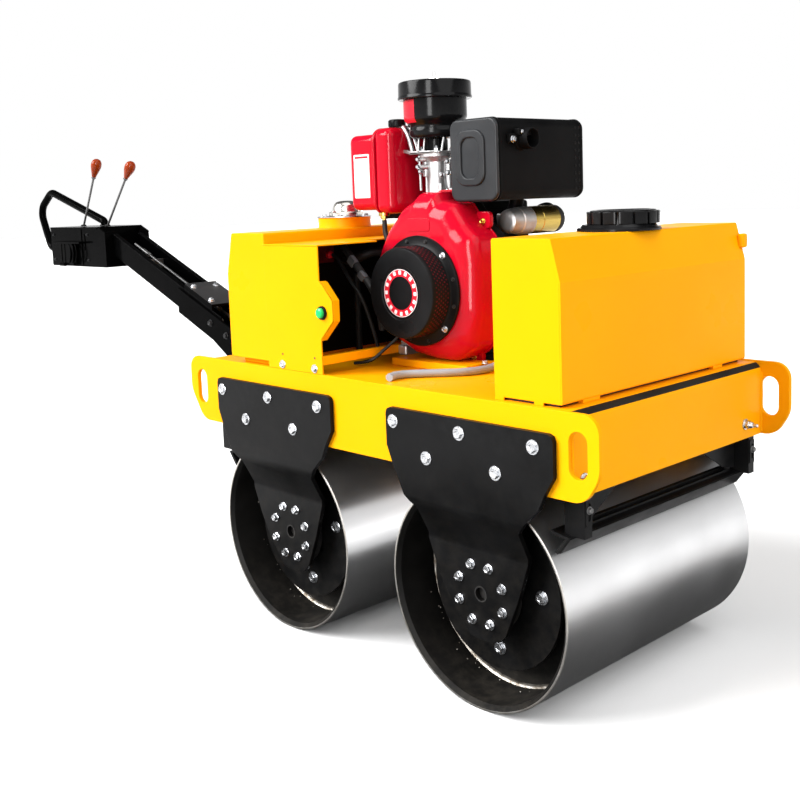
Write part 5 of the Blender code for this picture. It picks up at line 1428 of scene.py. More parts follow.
# %% [markdown]
# ## Recoil starter
#
# A black cup holds the pull cord's reel. Its side wall is punched with rows of small air holes,
# through which the red shroud glints, and a plain ring pattern is printed on its face. The holes
# repeat by the hundred, so each is only a shallow six-sided stud in a dark red, which paints the
# shade on the shroud seen through it.

# %% The cup, its ring of screws and its punched wall
CUP_RADIUS, FLANGE_RADIUS, FLANGE_FACE = 0.093, 0.1135, 0.0062
CUP_DEEP = SHROUD_NEAR - extent("recoil_starter", "Y")[0]
CUP_AT = at(0, SHROUD_NEAR, CRANK_Z)
CUP = [
    (0.0003, FLANGE_RADIUS), (0.0048, FLANGE_RADIUS), (FLANGE_FACE, FLANGE_RADIUS - 0.0014),
    (FLANGE_FACE, CUP_RADIUS + 0.005), (0.0080, CUP_RADIUS + 0.0012), (0.0110, CUP_RADIUS),
    (CUP_DEEP - 0.0050, CUP_RADIUS), (CUP_DEEP - 0.0022, CUP_RADIUS - 0.0008),
    (CUP_DEEP - 0.0006, CUP_RADIUS - 0.0024), (CUP_DEEP, CUP_RADIUS - 0.0050), (CUP_DEEP, 0.0560),
    (CUP_DEEP - 0.0010, 0.0545), (CUP_DEEP - 0.0010, 0.002),
]
stands_for(turned("recoil_cup", CUP, CUP_AT, "-Y", 96), "recoil_starter", PLASTIC)
HOLE_ROWS, HOLE_COLUMNS, ROW_START, ROW_APART = 6, 64, 0.0135, 0.0063
hole_model = turned("hole_model", mm(0, 2.1, 0.4, 1.9), sides=6)
holes = []
for row in range(HOLE_ROWS):
    for column in range(HOLE_COLUMNS):
        turn = 2 * pi * (column + 0.5 * (row % 2)) / HOLE_COLUMNS
        out = Vector((cos(turn), 0, sin(turn)))
        place = Vector(CUP_AT) - Vector((0, ROW_START + ROW_APART * row, 0)) + out * (CUP_RADIUS - 0.0001)
        face_out = out.to_track_quat("Z", "Y").to_matrix().to_4x4()
        holes.append(copy_to(hole_model, Matrix.Translation(place) @ face_out))
# Painted shade: the studs' dark red stands for the shroud in shade behind the holes.
fitted(joined("recoil_air_holes", *holes), "red_paint", PAINTED_SHADE_RED)
bpy.data.objects.remove(hole_model)
RING_SCREWS, BRIGHT_EVERY, SCREW_CIRCLE = 12, 3, 0.1045
ring = ring_of(RING_SCREWS, SCREW_CIRCLE, start=radians(15))
screws = [at(x, SHROUD_NEAR - FLANGE_FACE, CRANK_Z + z) for x, z in ring]
bright = screws[1::BRIGHT_EVERY]
dark = [place for place in screws if place not in bright]
fitted(repeated("recoil_screws_dark", tiny_screw, dark, "-Y"), "dark_steel", CASTING)
fitted(repeated("recoil_screws_bright", small_screw, bright, "-Y"), "bright_steel", ZINC)
print(len(holes), "air holes and", len(screws), "screws")

# %% The printed ring on the cup's face
FACE_AT = at(0, SHROUD_NEAR - CUP_DEEP + 0.0010, CRANK_Z)
RING_BLOCKS, BLOCK_THICK = 16, 0.00055
ring_red, ring_white = (
    turned(name, mm(0, inner, 0, outer, 0.3, outer, 0.3, inner, 0, inner), FACE_AT, "-Y", 96, closed=True)
    for name, inner, outer in (("ring_red", 34, 47.5), ("ring_white", 47.5, 48.7))
)
mark = plate("mark", rectangle((-0.0038, 0.0378), (0.0038, 0.0460), 0.0014, 3), -BLOCK_THICK, 0.0)
fitted(ring_red, "red_paint", PRINT_RED)
fitted(joined("ring_marks", ring_white, *around(mark, RING_BLOCKS, FACE_AT, "Y")), "black_plastic", PRINT_WHITE)
print(RING_BLOCKS, "blocks in the printed ring")

# %% [markdown]
# ## Fuel tank
#
# The red tank is pressed in two halves that meet in a raised seam. Each half is a soft-edged
# box, and the seam is a thin plate that stands out between them. The label has no print but one red bar.

# %% Tank halves, seam and label
FUEL_LOW, FUEL_TOP = extent("fuel_tank", "Z")
rear_half = box("rear half", at(-0.2430, -0.104, FUEL_LOW + 0.010), at(-0.156, 0.074, FUEL_TOP - 0.012), 0.016, 6)
front_half = box("front half", at(-0.158, -0.1085, FUEL_LOW + 0.002), at(-0.103, 0.0785, FUEL_TOP - 0.001), 0.019, 6)
lip = rectangle((-0.1105, FUEL_LOW), (0.0805, FUEL_TOP), 0.030, 8)
seam = plate("seam", lip, MIDDLE - 0.1605, MIDDLE - 0.1520, "X", 0.0030, 3)
stands_for(joined("fuel_tank_halves", rear_half, front_half, seam), "fuel_tank", RED)
label = plate("label", rectangle((MIDDLE - 0.2245, 0.937), (MIDDLE - 0.1745, 1.031), 0.002, 3), -0.1038, -0.1044)
label_line = plate("label_line", rectangle((MIDDLE - 0.2205, 1.0225), (MIDDLE - 0.1785, 1.0270), 0.001, 3),
                   -0.1043, -0.1046)
fitted(label, "red_paint", PRINT_WHITE)
fitted(label_line, "red_paint", PRINT_RED)
print("fuel tank", round(FUEL_TOP - FUEL_LOW, 3), "m high")

# %% Fuel cap, outlet and fuel line
FUEL_CAP = (middle_of("fuel_cap", "X"), middle_of("fuel_cap", "Y"), FUEL_TOP + 0.0003)
CAP_GRIPS = 14
fuel_cap = turned("fuel_cap_knob", mm(0, 17, 2, 17.8, 13, 17.8, 15.8, 16.5, 16.6, 13, 16.4, 10.5, 15, 9.5, 15, 2),
                  FUEL_CAP, "Z", 48)
grips = around(box("grip", (-0.0011, 0.0150, 0.0016), (0.0011, 0.0188, 0.0140), 0.0005), CAP_GRIPS, FUEL_CAP)
stands_for(joined("fuel_cap_knob", fuel_cap, *grips), "fuel_cap", PLASTIC)
outlet_at = at(-0.150, -0.088, FUEL_LOW + 0.004)
outlet = joined(
    "fuel_outlet",
    turned("boss", mm(0, 12, 6, 12, 7, 11), outlet_at, "-Z", 24),
    turned("hex", mm(5, 8.5, 12.5, 8.5, 13.5, 7.5), outlet_at, "-Z", 6),
    bar("spigot", at(-0.150, -0.088, FUEL_LOW - 0.008), at(-0.150, -0.088, FUEL_LOW - 0.022), 0.0045),
)
fitted(outlet, "bright_steel", BRASS)
fuel_route = [at(-0.150, -0.088, FUEL_LOW - 0.012), at(-0.150, -0.088, FUEL_LOW - 0.035)]
fuel_route += route(-146, -88, 848, -134, -84, 824, -120, -70, 806, -104, -45, 798, -80, -30, 796)
fitted(tube("fuel_line", fuel_route, 0.0055), "hose_rubber", RUBBER)
print(CAP_GRIPS, "grips on the fuel cap")

# %% [markdown]
# ## Intake and air cleaner
#
# The silver casting under the air cleaner is the intake and the governor's stand. Thin levers, a
# spring and a cable clamp crowd round it. The air cleaner is a black bowl on a ribbed rubber
# neck, with a deep lid held by one bright wing nut.

# %% Intake casting with its flange, bosses and ports
INTAKE = Vector(at(-0.043, -0.028, HEAD_TOP))
FLANGE_TOP = extent("intake_casting", "Z")[1]
STEM = mm(0, 25, 10, 25, 14, 23.5, 20, 21, 60, 20.5, 86, 21, 92, 26, 95.5, 35, 97, 36.8, 104, 36.8, 105, 36)
BOSSES = (
    (0.020, -0.012, 0.012, 0.040, 0.0060), (-0.020, -0.014, 0.056, 0.092, 0.0070),
    (0.024, 0.010, 0.030, 0.090, 0.0080), (-0.024, 0.004, 0.030, 0.090, 0.0075),
    (-0.021, -0.012, 0.002, 0.060, 0.0030),
)
bosses = [
    bar("boss", off(INTAKE, x, y, low), off(INTAKE, x, y, high), radius)
    for x, y, low, high, radius in BOSSES
]
ports = [
    bar("port", (INTAKE.x - 0.006, INTAKE.y - 0.010, z), (INTAKE.x - 0.022, INTAKE.y - 0.030, z), 0.0050)
    for z in (0.998, 1.0135)
]
stem = turned("stem", STEM, INTAKE, "Z", 48)
stands_for(joined("intake_stand", stem, *bosses, *ports), "intake_casting", ALUMINIUM)
print("intake stand", round(FLANGE_TOP - HEAD_TOP, 3), "m high")

# %% Governor levers, spring and rods
LEVER = mm(-124, 3, -82, -5, -4, -5, -4, -0.5, -82, 2, -124, 10.5)
LEVER_PLATE = mm(-98, -68, 0, -68, 4, 4, -82, 10)
LEVER_BALL = mm(0, 2, 1, 4.8, 4, 6.8, 7, 6.8, 10, 4.8, 11, 2)
ARM = route(-126, -60, 1088.5, -114, -60, 1088, -104.5, -60, 1080, -96, -60, 1066, -89.5, -60, 1050, -84, -60, 1030)
WIRES = (
    ((-0.076, -0.064, 1.0625), (-0.0605, -0.068, 1.0300), 0.0016),
    ((-0.0585, -0.068, 1.0300), (-0.0590, -0.064, 1.0600), 0.0024),
    ((-0.0440, -0.066, 1.0295), (-0.0440, -0.062, 1.0600), 0.0018),
    ((-0.0060, -0.052, 1.0260), (-0.0020, -0.048, 1.0570), 0.0026),
    ((-0.0660, -0.058, 1.022), (-0.0640, -0.058, 0.948), 0.0026),
)
levers = [
    plate("lever", soft_corners([(MIDDLE + x, FLANGE_TOP + z) for x, z in LEVER], 0.002),
          -0.0680, -0.0600, "Y", 0.0010),
    plate("lever plate", soft_corners([(MIDDLE + x, y) for x, y in LEVER_PLATE], 0.012),
          FLANGE_TOP - 0.0050, FLANGE_TOP - 0.0010, "Z", 0.0008),
    turned("lever ball", LEVER_BALL, at(-0.1235, -0.0585, FLANGE_TOP + 0.0055), "-Y", 20),
    tube("arm", ARM, 0.0050, 16),
    tube("arm two", [(x + 0.0075, y + 0.012, z - 0.0035) for x, y, z in ARM], 0.0036, 12),
    box("arm block", at(-0.136, -0.069, 1.0835), at(-0.112, -0.052, 1.0950), 0.0025, 3),
    tube("hook line", route(4, -50, 948, 16, -52, 936, 26, -60, 930), 0.0028, 10),
    *(bar("wire", at(*start), at(*end), radius) for start, end, radius in WIRES),
]
fitted(joined("governor_levers", *levers), "cast_aluminium", ALUMINIUM)
FLANGE_NUTS = ((-0.066, -0.050), (-0.020, -0.052), (-0.018, -0.006), (-0.068, -0.006))
SIDE_NUTS = route(-66.9, -60, 1013.8, -67.6, -60, 998, -62.1, -58, 988.3,
                  0, -40, 1007.2, 1, -40, 983.5, -12, -46, 979.9)
nuts = [
    turned("nut", mm(0, 6.6, 6, 6.6, 6.8, 5.6, 11, 3.4, 11.6, 2.6), at(x, y, FLANGE_TOP - 0.0010), "Z", 6, angle=20)
    for x, y in FLANGE_NUTS
] + [
    turned("side nut", mm(0, 5.8, 5, 5.8, 6, 5, 8.5, 3), place, (0.35, -0.94, 0), 6, angle=20)
    for place in SIDE_NUTS
]
fitted(joined("intake_studs", *nuts), "bright_steel", ZINC)
screws = [off(INTAKE, x, y, 0.0100) for x, y in ring_of(3, 0.0225, start=0.9)]
fitted(repeated("low_screws", small_screw, screws, "Z"), "bright_steel", BRASS)
knob = turned("link_knob", mm(0, 6, 3, 8.5, 11, 8.5, 14, 6), at(-0.106, -0.046, 1.0900), (1, 0.3, 0), 24)
fitted(knob, "black_plastic", PLASTIC)
print(len(levers), "levers and rods,", len(nuts), "nuts")

# %% Air cleaner: neck, stepped bowl, deep lid and wing nut
CLEANER = Vector(at(-0.045, -0.027, FLANGE_TOP + 0.0003))
NECK_RIBS, RED_WRAP, WRAP_Z, WRAP_OUT = 12, (radians(-168), radians(-88)), (0.0600, 0.1080), (0.0600, 0.0675)
BOWL = mm(0, 23, 24, 23, 25.2, 25, 26.2, 46, 28.5, 51.5, 33, 55, 38, 56.2, 44, 56, 48.5, 54.5, 51, 54, 54, 55.5,
          59, 60, 64, 64.5, 68, 66.4, 72, 67, 106, 67, 112, 67)
LID = mm(109, 67.2, 107.6, 71.5, 107.4, 77, 108.6, 78.4, 112, 78.5, 113.5, 77.6, 116, 77.2, 139, 76.8, 142.5, 75.8,
         144, 73, 144.8, 64, 145.2, 30, 145.5, 2)
ribs = around(box("neck rib", (0.0215, -0.0016, 0.0015), (0.0250, 0.0016, 0.0235), 0.0006), NECK_RIBS, CLEANER)
cleaner = joined("air_cleaner_body", turned("air_bowl", BOWL, CLEANER, "Z", 96, angle=50), *ribs,
                 turned("air_lid", LID, CLEANER, "Z", 96, angle=40))


def wrapped(centre, normal):
    """The part of the bowl's wall that carries the red band."""
    x, y, z = centre - CLEANER
    return (RED_WRAP[0] < atan2(y, x) < RED_WRAP[1] and WRAP_Z[0] < z < WRAP_Z[1] and abs(normal.z) < 0.75
            and WRAP_OUT[0] < hypot(x, y) < WRAP_OUT[1])


stands_for(paint(cleaner, 1, wrapped), "air_cleaner", SHINY_BLACK, PRINT_RED)
BLADE = mm(3, 148, 12, 153, 13.5, 160, 8.5, 161.5, 3, 154)
blades = [
    around(plate("blade", soft_corners([(side * x, z) for x, z in BLADE], 0.0022), -0.0014, 0.0014, "Y", 0.0005),
           1, CLEANER, start=radians(35))[0]
    for side in (-1, 1)
]
wing_nut = joined(
    "wing_nut",
    turned("washer", mm(145, 11, 146.4, 11, 147, 10), CLEANER, "Z", 32),
    turned("hub", mm(146.5, 6.5, 153.5, 5.2, 154.5, 4), CLEANER, "Z", 24),
    bar("stud", off(CLEANER, 0, 0, 0.146), off(CLEANER, 0, 0, 0.1645), 0.0026), *blades,
)
fitted(wing_nut, "bright_steel", CHROME)
print("air cleaner's top at", round(CLEANER.z + LID[-1][0], 3), "m")

# %% [markdown]
# ## Muffler
#
# The muffler is a rolled black box. Its charcoal end cap is pressed with two rounded rectangles, one
# inside the other, and folded over the body in a seam. A short pipe leaves its front face beside a
# clamp screw, and rows of small vents run along the far end.

# %% Body, outlet and clamp
(low_x, near_y, low_z), (_, far_y, high_z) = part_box("muffler")
MUFFLER_FRONT = MIDDLE + 0.186
OUTLET = Vector((MUFFLER_FRONT, -0.022, HEAD_TOP + 0.1197))
PIPE = mm(-4, 18, -4, 24, 2, 23, 4, 20.8, 27.5, 20.5, 28.8, 19.8, 29, 18.6, 27.5, 18, -4, 18)


def muffler_slice(name, near, far, shrink, ease, segments=3):
    """A slice of the muffler's rounded box between two places along Y."""
    corners = (low_x + shrink, low_z + shrink), (MUFFLER_FRONT - shrink, high_z - shrink)
    return plate(name, rectangle(*corners, 0.020 - shrink / 2, 8), near, far, "Y", ease, segments)


muffler = joined(
    "muffler_body",
    muffler_slice("body", near_y + 0.013, far_y - 0.010, 0.0012, 0.0010),
    muffler_slice("near lip", near_y + 0.0125, near_y + 0.0175, 0.0, 0.0012),
    muffler_slice("far lip", far_y - 0.013, far_y - 0.0085, 0.0, 0.0012),
    muffler_slice("far cap", far_y - 0.012, far_y, 0.0016, 0.0080, 5),
    plate("top seam", rectangle((low_x + 0.040, near_y + 0.020), (low_x + 0.052, far_y - 0.014), 0.002, 2),
          high_z - 0.0018, high_z - 0.0002, "Z", 0.0006),
    turned("pipe", PIPE, OUTLET, "X", 48, closed=True),
    box("clamp", off(OUTLET, -0.001, -0.045, -0.008), off(OUTLET, 0.008, -0.014, 0.010), 0.002),
    box("clamp", off(OUTLET, -0.001, -0.026, 0.006), off(OUTLET, 0.016, 0.012, 0.020), 0.003),
)
stands_for(muffler, "muffler", HEAT_BLACK)
clamp_screws = repeated("clamp_screws", small_screw, [off(OUTLET, 0.008, -0.036, -0.001)], "X")
tab_screw = repeated("tab", tiny_screw, [off(OUTLET, 0.016, -0.016, 0.013)], "X")
fitted(joined("muffler_screws", clamp_screws, tab_screw), "bright_steel", ZINC)
elbow = tube("exhaust_elbow", route(40, 60, 880, 62, 60, 882, 84, 60, 890, 98, 60, 908, 100, 60, 925), 0.0150, 24)
fitted(elbow, "black_paint", HEAT_BLACK)
print("muffler", round(far_y - near_y, 3), "m long")

# %% End cap with its pressed rings, and the vents at the far end
RING, HOLLOW = ((0.0185, 0.031), (0.0956, 0.141), 0.026), ((0.0335, 0.047), (0.0805, 0.125), 0.018)
VENT_ROWS, VENTS, VENT_LOW, VENT_APART = (0.030, 0.018), 9, 0.020, 0.0155
ring_outline, hollow_outline = (
    rectangle(*((low_x + x, low_z + z) for x, z in corners), radius, 10) for *corners, radius in (RING, HOLLOW))
ring = carve(plate("ring", ring_outline, near_y + 0.006, near_y - 0.0012),
             plate("hollow", hollow_outline, near_y - 0.01, near_y + 0.02))
cap = muffler_slice("cap", near_y + 0.0030, near_y + 0.0130, 0.0006, 0.0090, 6)
fitted(joined("muffler_end_cap", cap, eased(ring, 0.0034, 5)), "black_paint", CAP_GREY)
vent = turned("vent", mm(0, 3, 0.9, 2.7, 1, 1.6, 0.4, 1), sides=12)
places = [(MUFFLER_FRONT - 0.0013, far_y - back, low_z + VENT_LOW + VENT_APART * number)
          for back in VENT_ROWS for number in range(VENTS)]
fitted(repeated("vents", vent, places, "X"), "black_paint", BLACK)
bpy.data.objects.remove(vent)
print(len(places), "vents")

# %% [markdown]
# ## Starter motor
#
# The electric starter lies across the engine, in front of the cylinder. Its nose is a grey
# casting, its can is yellow-passivated steel, and a black boot covers the terminal at its far end.

# %% Nose, can, boot and terminal
STARTER = at(0.120, 0.0, HEAD_TOP - 0.0427)
NOSE = mm(0, 15, 1, 20, 4, 23.5, 12, 25, 20, 26.2, 30, 26.2, 32, 28, 56, 28.5, 60, 29, 64, 29)
CAN = mm(63, 28, 64, 28.8, 88, 28.8, 89, 28, 91, 28, 92, 28.8, 144, 28.8, 146, 27.5)
nose_lug = box("lug", off(STARTER, -0.0317, 0.005, -0.017), off(STARTER, -0.010, 0.030, 0.017), 0.004, 3)
nose = joined("starter_nose", turned("nose", NOSE, STARTER, "Y", 48), nose_lug)
stands_for(nose, "starter_motor", ALUMINIUM)
fitted(turned("starter_can", CAN, STARTER, "Y", 64), "bright_steel", BRASS)
CABLE = (0, 0.150, 0.026), (-0.010, 0.150, 0.034), (-0.030, 0.146, 0.032), (-0.050, 0.140, 0.010)
boot = joined(
    "starter_boot",
    turned("end", mm(144, 29, 156, 29, 160, 27, 162, 20), STARTER, "Y", 48),
    bar("sleeve", off(STARTER, 0, 0.158, -0.004), off(STARTER, 0, 0.178, -0.004), 0.0130, 0.0105),
    tube("cable", [off(STARTER, *bend) for bend in CABLE], 0.0045),
)
fitted(boot, "hose_rubber", RUBBER)
terminal = joined(
    "starter_terminal",
    bar("post", off(STARTER, 0, 0.176, -0.004), off(STARTER, 0, 0.1848, -0.004), 0.0040),
    turned("nut", mm(176, 7.5, 181, 7.5, 182, 6.6), off(STARTER, 0, 0, -0.004), "Y", 6, angle=20),
)
fitted(terminal, "bright_steel", BRASS)
print("starter ends at", round(max(v.co.y for v in terminal.data.vertices), 3))

# %% [markdown]
# ## Handle arm and mount
#
# The handle is a folded channel that slopes up and back, with two silver rods in its trough. A wider
# base channel holds its foot and folds about a pin between two cheeks. A small plate with four
# bolts closes the channel's top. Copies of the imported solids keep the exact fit, and rounded
# edges, folded lips and bolts are added to them.

# %% Mount, base, arm and top plate
ARM_SLOPE, ARM_DEPTH, ARM_HALF = 0.400, 0.062, 0.050
ARM_X, ARM_Z = PIVOT.x - 0.248, PIVOT.z + 0.060
ARM_RISE = ARM_DEPTH * hypot(1, ARM_SLOPE)
BOX_REAR, BOX_FRONT, BOX_HALF = PIVOT.x - 1.147, PIVOT.x - 0.784, 0.076
BOX_LOW, BOX_TOP = extent("control_box", "Z")[0], extent("drive_lever", "Z")[0]
ARM_FRONT = extent("handle_arm", "X")[1]
PLATE_REAR, PLATE_FRONT, PLATE_RISE = ARM_FRONT - 0.170, ARM_FRONT - 0.038, 0.017


def arm_low(x):
    """Height of the arm's lower edge at x."""
    return ARM_Z - ARM_SLOPE * (x - ARM_X)


def along_arm(rear, front, low, high):
    """The outline of a strip that follows the arm's upper edge."""
    return [(x, arm_low(x) + ARM_RISE + rise) for x, rise in ((rear, low), (front, low), (front, high), (rear, high))]


as_packed("handle_mount", "mount_cheeks", 0.0012, HANDLE_BLACK)
as_packed("handle_base", "base_channel", 0.0012, HANDLE_BLACK)
arm_shell = eased(tidy_copy("handle_arm", "arm_channel"), 0.0014)
lips = [
    plate("lip", along_arm(BOX_FRONT + 0.004, ARM_FRONT - 0.104, -0.0034, 0.0002),
          side * (ARM_HALF - 0.001), side * (ARM_HALF - 0.015), "Y", 0.0008)
    for side in (-1, 1)
]
stands_for(joined("arm_channel", arm_shell, *lips), "handle_arm", HANDLE_BLACK)
cover = eased(tidy_copy("handle_top_plate", "top_plate"), 0.0016, 3)
gap = along_arm(PLATE_REAR - 0.01, PLATE_FRONT + 0.01, -0.01, PLATE_RISE - 0.006)
carve(cover, plate("hollow", gap, -ARM_HALF + 0.004, ARM_HALF - 0.004, "Y"))
# Painted light: the plate's upward faces take a lighter grey than its black sides, for the light on its top.
paint(cover, 1, lambda centre, normal: normal.z > 0.7)
stands_for(cover, "handle_top_plate", HANDLE_BLACK, PLATE_TOP_PAINTED_LIGHT)
print("arm's front end at", round(ARM_FRONT - PIVOT.x, 3), "m from the fold")

# %% Fold pin, and the bolts of the top plate and the base
PIN_LOW, PIN_HIGH = (Vector((PIVOT.x, y, PIVOT.z)) for y in extent("handle_pin", "Y"))
WASHER_IN, SPLIT_IN, SPLIT_HALF = 0.0074, 0.0030, Vector((0.015, 0, 0))
pin_body = bar("fold_pin", PIN_LOW, PIN_HIGH, 0.0099, ease=0.0012, sides=32)
washers, split_pins = [], []
for side in (-1, 1):
    face, hole = (Vector((PIVOT.x, side * (PIN_HIGH.y - inward), PIVOT.z)) for inward in (WASHER_IN, SPLIT_IN))
    washers.append(turned("pin washer", mm(0, 16.5, 1.6, 16.5, 2.2, 15.8), face, outward(side), 32))
    split_pins.append(bar("split pin", hole - SPLIT_HALF, hole + SPLIT_HALF, 0.0014, sides=10))
stands_for(joined("fold_pin", pin_body, *washers, *split_pins), "handle_pin", ZINC)
plate_bolt = bolt("plate_bolt", 0.0072, 0.0062, 0.0096, 0.0014)
plate_places = [(x, y, arm_low(x) + ARM_RISE + PLATE_RISE)
                for x in (PLATE_REAR + 0.024, PLATE_FRONT - 0.024) for y in (-0.0365, 0.0365)]
uphill = Vector((ARM_SLOPE, 0, 1)).normalized()
fitted(repeated("top_plate_bolts", plate_bolt, plate_places, uphill), "bright_steel", ZINC, body="handle")
BASE_FACE = extent("handle_base", "Y")[1]
for name, side in (("base_bolts_y_near", -1), ("base_bolts_y_far", 1)):
    places = [(PIVOT.x - back, side * BASE_FACE, PIVOT.z + rise) for back, rise in ((0.262, 0.098), (0.190, 0.068))]
    fitted(repeated(name, plate_bolt, places, outward(side)), "dark_steel", BLACK_BOLT, body="handle")
print(len(plate_places), "bolts hold the top plate")

# %% Control rods with their yoke ends
ROD_Y, ROD_RISE, YOKE_LONG, CLAMP_HALF = 0.018, 0.036, 0.034, 0.0446
ROD_ENDS, YOKES = (BOX_FRONT + 0.014, ARM_FRONT - 0.040), (BOX_FRONT + 0.060, ARM_FRONT - 0.140)
along = Vector((1, 0, -ARM_SLOPE)).normalized()
rods, yokes = [], []
for side in (-1, 1):
    rods.append(bar("rod", *(Vector((x, side * ROD_Y, arm_low(x) + ROD_RISE)) for x in ROD_ENDS), 0.0040))
    for x in YOKES:
        start = Vector((x, side * ROD_Y, arm_low(x) + ROD_RISE))
        yokes.append(bar("yoke", start, start + along * YOKE_LONG, 0.0066))
        nut_at = start + along * (YOKE_LONG + 0.002)
        yokes.append(turned("jam nut", mm(0, 7.4, 6, 7.4, 7, 6.4), nut_at, along, 6, angle=20))
clamp_x = BOX_FRONT + 0.124
clamp_bar = box("clamp", (clamp_x - 0.006, -CLAMP_HALF, arm_low(clamp_x) + 0.0085),
                (clamp_x + 0.006, CLAMP_HALF, arm_low(clamp_x) + ROD_RISE), 0.0012)
stands_for(joined("push_rods", *rods, *yokes, clamp_bar), "control_rods", ROD_STEEL)
print(len(rods), "rods", round(ROD_ENDS[1] - ROD_ENDS[0], 3), "m long")

# %% [markdown]
# ## Control box, grab loop and levers
#
# The control box is folded from sheet and open where the arm enters it. Its side has a small shelf
# with hooks, where a cable is hung, and a lug sits at its back. The grab loop is one bent tube.
# Two thin levers end in varnished orange knobs shaped like pears.

# %% Box with its rim, hooks, lug and bolts
NEAR_FACE, SHELF_LOW = -BOX_HALF, BOX_LOW + 0.073
HOOKS, ROLLER_OUT, GUIDE_OUT, LUG_HALF = (0.150, 0.170, 0.190), 0.020, 0.015, 0.0225
HOOK_BEND = ((0, -14, 1), (12, -16, -10), (19, -18, -30), (14, -18, -50), (1, -16, -60))
LUG_RING = mm(0, 8.5, 0, 15.5, 3, 16, 42, 16, 45, 15.5, 45, 8.5, 0, 8.5)
BOX_BOLTS = [(across, rise) for across in (0.022, 0.250) for rise in (0.020, 0.100)]
box_shell = eased(tidy_copy("control_box", "box_shell"), 0.0014)
rims = [
    box("rim", (BOX_REAR + 0.001, side * (BOX_HALF + 0.0006) - 0.0012, BOX_TOP - 0.0075),
        (BOX_FRONT - 0.046, side * (BOX_HALF + 0.0006) + 0.0012, BOX_TOP - 0.0004), 0.0006)
    for side in (-1, 1)
]
straps = [
    box("strap", (rear, NEAR_FACE - 0.0022, BOX_LOW + low), (front, NEAR_FACE + 0.001, BOX_TOP - drop), 0.0008)
    for rear, front, low, drop in (
        (BOX_REAR + 0.196, BOX_REAR + 0.214, 0.004, 0.004), (BOX_FRONT - 0.140, BOX_FRONT - 0.128, 0.052, 0.022))
]
hooks = []
for along_box in HOOKS:
    top = Vector((BOX_REAR + along_box, NEAR_FACE, SHELF_LOW))
    hooks.append(tube("hook", [top + Vector(bend) / 1000 for bend in HOOK_BEND], 0.0026, 12))
roller = bar("roller", (BOX_REAR + 0.098, NEAR_FACE - ROLLER_OUT, BOX_LOW + 0.006),
             (BOX_REAR + 0.130, NEAR_FACE - ROLLER_OUT, BOX_LOW + 0.006), 0.0055)
guides = [bar("guide", (BOX_REAR + x, NEAR_FACE - GUIDE_OUT, BOX_LOW + 0.012),
              (BOX_REAR + x, NEAR_FACE - GUIDE_OUT, SHELF_LOW), 0.0030) for x in (0.102, 0.124)]
lug_eye = turned("lug eye", LUG_RING, (BOX_REAR - 0.040, -LUG_HALF, BOX_LOW + 0.0135), "Y", 40, closed=True)
box_shell = joined("box_shell", box_shell, *rims, *straps, *hooks, roller, *guides, lug_eye)
stands_for(box_shell, "control_box", HANDLE_BLACK)
box_bolts = []
for side in (-1, 1):
    places = [(BOX_REAR + x, side * BOX_HALF, BOX_LOW + z) for x, z in BOX_BOLTS]
    box_bolts.append(repeated("box_bolts", tiny_screw, places, outward(side)))
fitted(joined("box_bolts", *box_bolts), "dark_steel", BLACK_BOLT, body="handle")
print(len(hooks), "hooks and", 2 * len(BOX_BOLTS), "bolts on the control box")

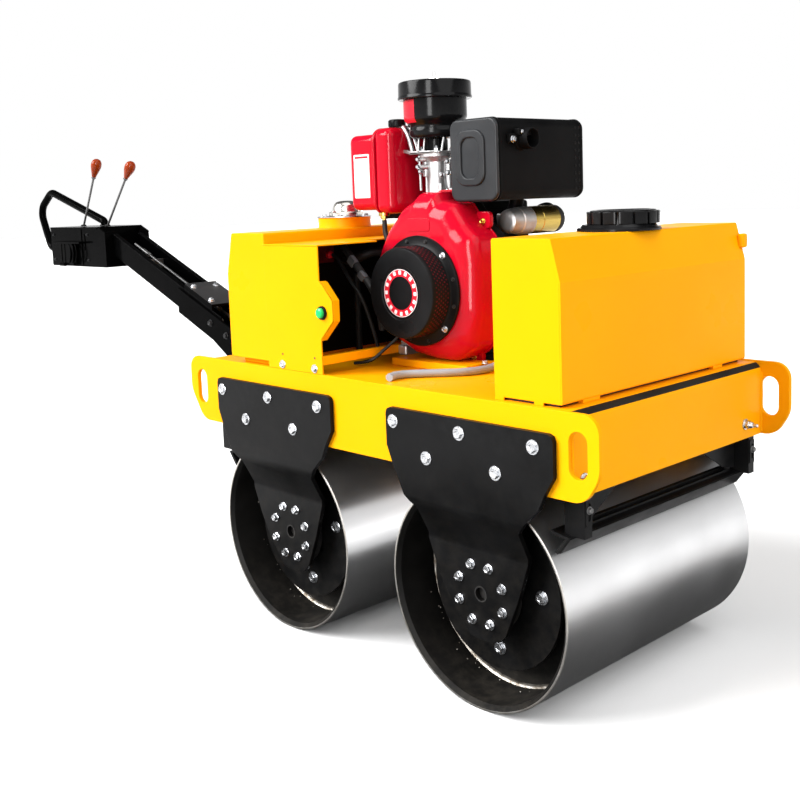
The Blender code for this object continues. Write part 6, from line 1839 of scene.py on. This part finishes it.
# %% Grab loop
LOOP_Y, LOOP_TUBE, SEAT = 0.030, 0.0125, 0.0003
LOOP_TOP, LOOP_FOOT = (BOX_FRONT - 0.194, LOOP_Y, BOX_TOP + SEAT), (BOX_REAR - SEAT, LOOP_Y, BOX_LOW + 0.047)
corners = [
    LOOP_TOP[::2], (LOOP_TOP[0], BOX_TOP + 0.0142, 0.016), (BOX_REAR - 0.195, BOX_TOP + 0.1168, 0.045),
    (BOX_REAR - 0.2914, BOX_TOP + 0.056, 0.045), (BOX_REAR - 0.225, LOOP_FOOT[2], 0.040), LOOP_FOOT[::2],
]
loop_bend = [(x, LOOP_Y, z) for x, z in soft_corners(corners, 0, 10)]
loop = tube("loop", loop_bend, LOOP_TUBE, 24, soft=False)
collars = [
    turned("collar", mm(0, 16.5, 2, 16, 4, 13.5, 4.5, 12), LOOP_TOP, "Z", 40),
    turned("collar", mm(0, 17.5, 4, 17.2, 7.5, 14, 8, 12), LOOP_FOOT, "-X", 40),
]
stands_for(joined("grab_tube", loop, *collars), "grab_loop", HANDLE_BLACK)
print("grab loop bent through", len(loop_bend), "points")

# %% Levers
LEVER_Y = -0.030
LEVERS = (("drive_lever", 0.141, (0.107, 0.182)), ("throttle_lever", 0.298, (0.155, 0.167)))
KNOB = mm(-32, 5.8, -30, 7, -24, 8.4, -16, 10.8, -6, 13.8, 2, 15.6, 9, 16.3, 16, 15.6, 22, 13.3, 26.2, 9.9, 28.5, 5.5,
          29.2, 0)
lever_rods, lever_boots = [], []
for node, along_box, knob in LEVERS:
    foot = Vector((BOX_REAR + along_box, LEVER_Y, BOX_TOP + 0.0004))
    lean = Vector((knob[0], 0, knob[1]))
    reach, lean = lean.length, lean.normalized()
    pear = [(reach + height, radius) for height, radius in KNOB]
    stands_for(turned(f"{node}_knob", pear, foot, lean, 48, angle=60), node, ORANGE)
    lever_rods.append(bar("lever rod", foot + lean * 0.002, foot + lean * (reach - 0.031), 0.0033))
    lever_rods.append(turned("nut", mm(0, 6.8, 5, 6.8, 6, 5.8), foot + lean * (reach - 0.0375), lean, 6, angle=20))
    lever_boots.append(turned("boot", mm(0, 10, 1.2, 10, 3, 8, 3.6, 8.6, 5.4, 6.2, 6, 3), foot, "Z", 32))
fitted(joined("lever_rods", *lever_rods), "bright_steel", ROD_STEEL, body="handle")
fitted(joined("lever_boots", *lever_boots), "hose_rubber", RUBBER, body="handle")
for model in (small_screw, tiny_screw, plate_bolt):
    bpy.data.objects.remove(model)
print("handle ready: box top at", round(BOX_TOP, 3))

# %% Measure the bounds of everything shown
low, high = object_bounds()
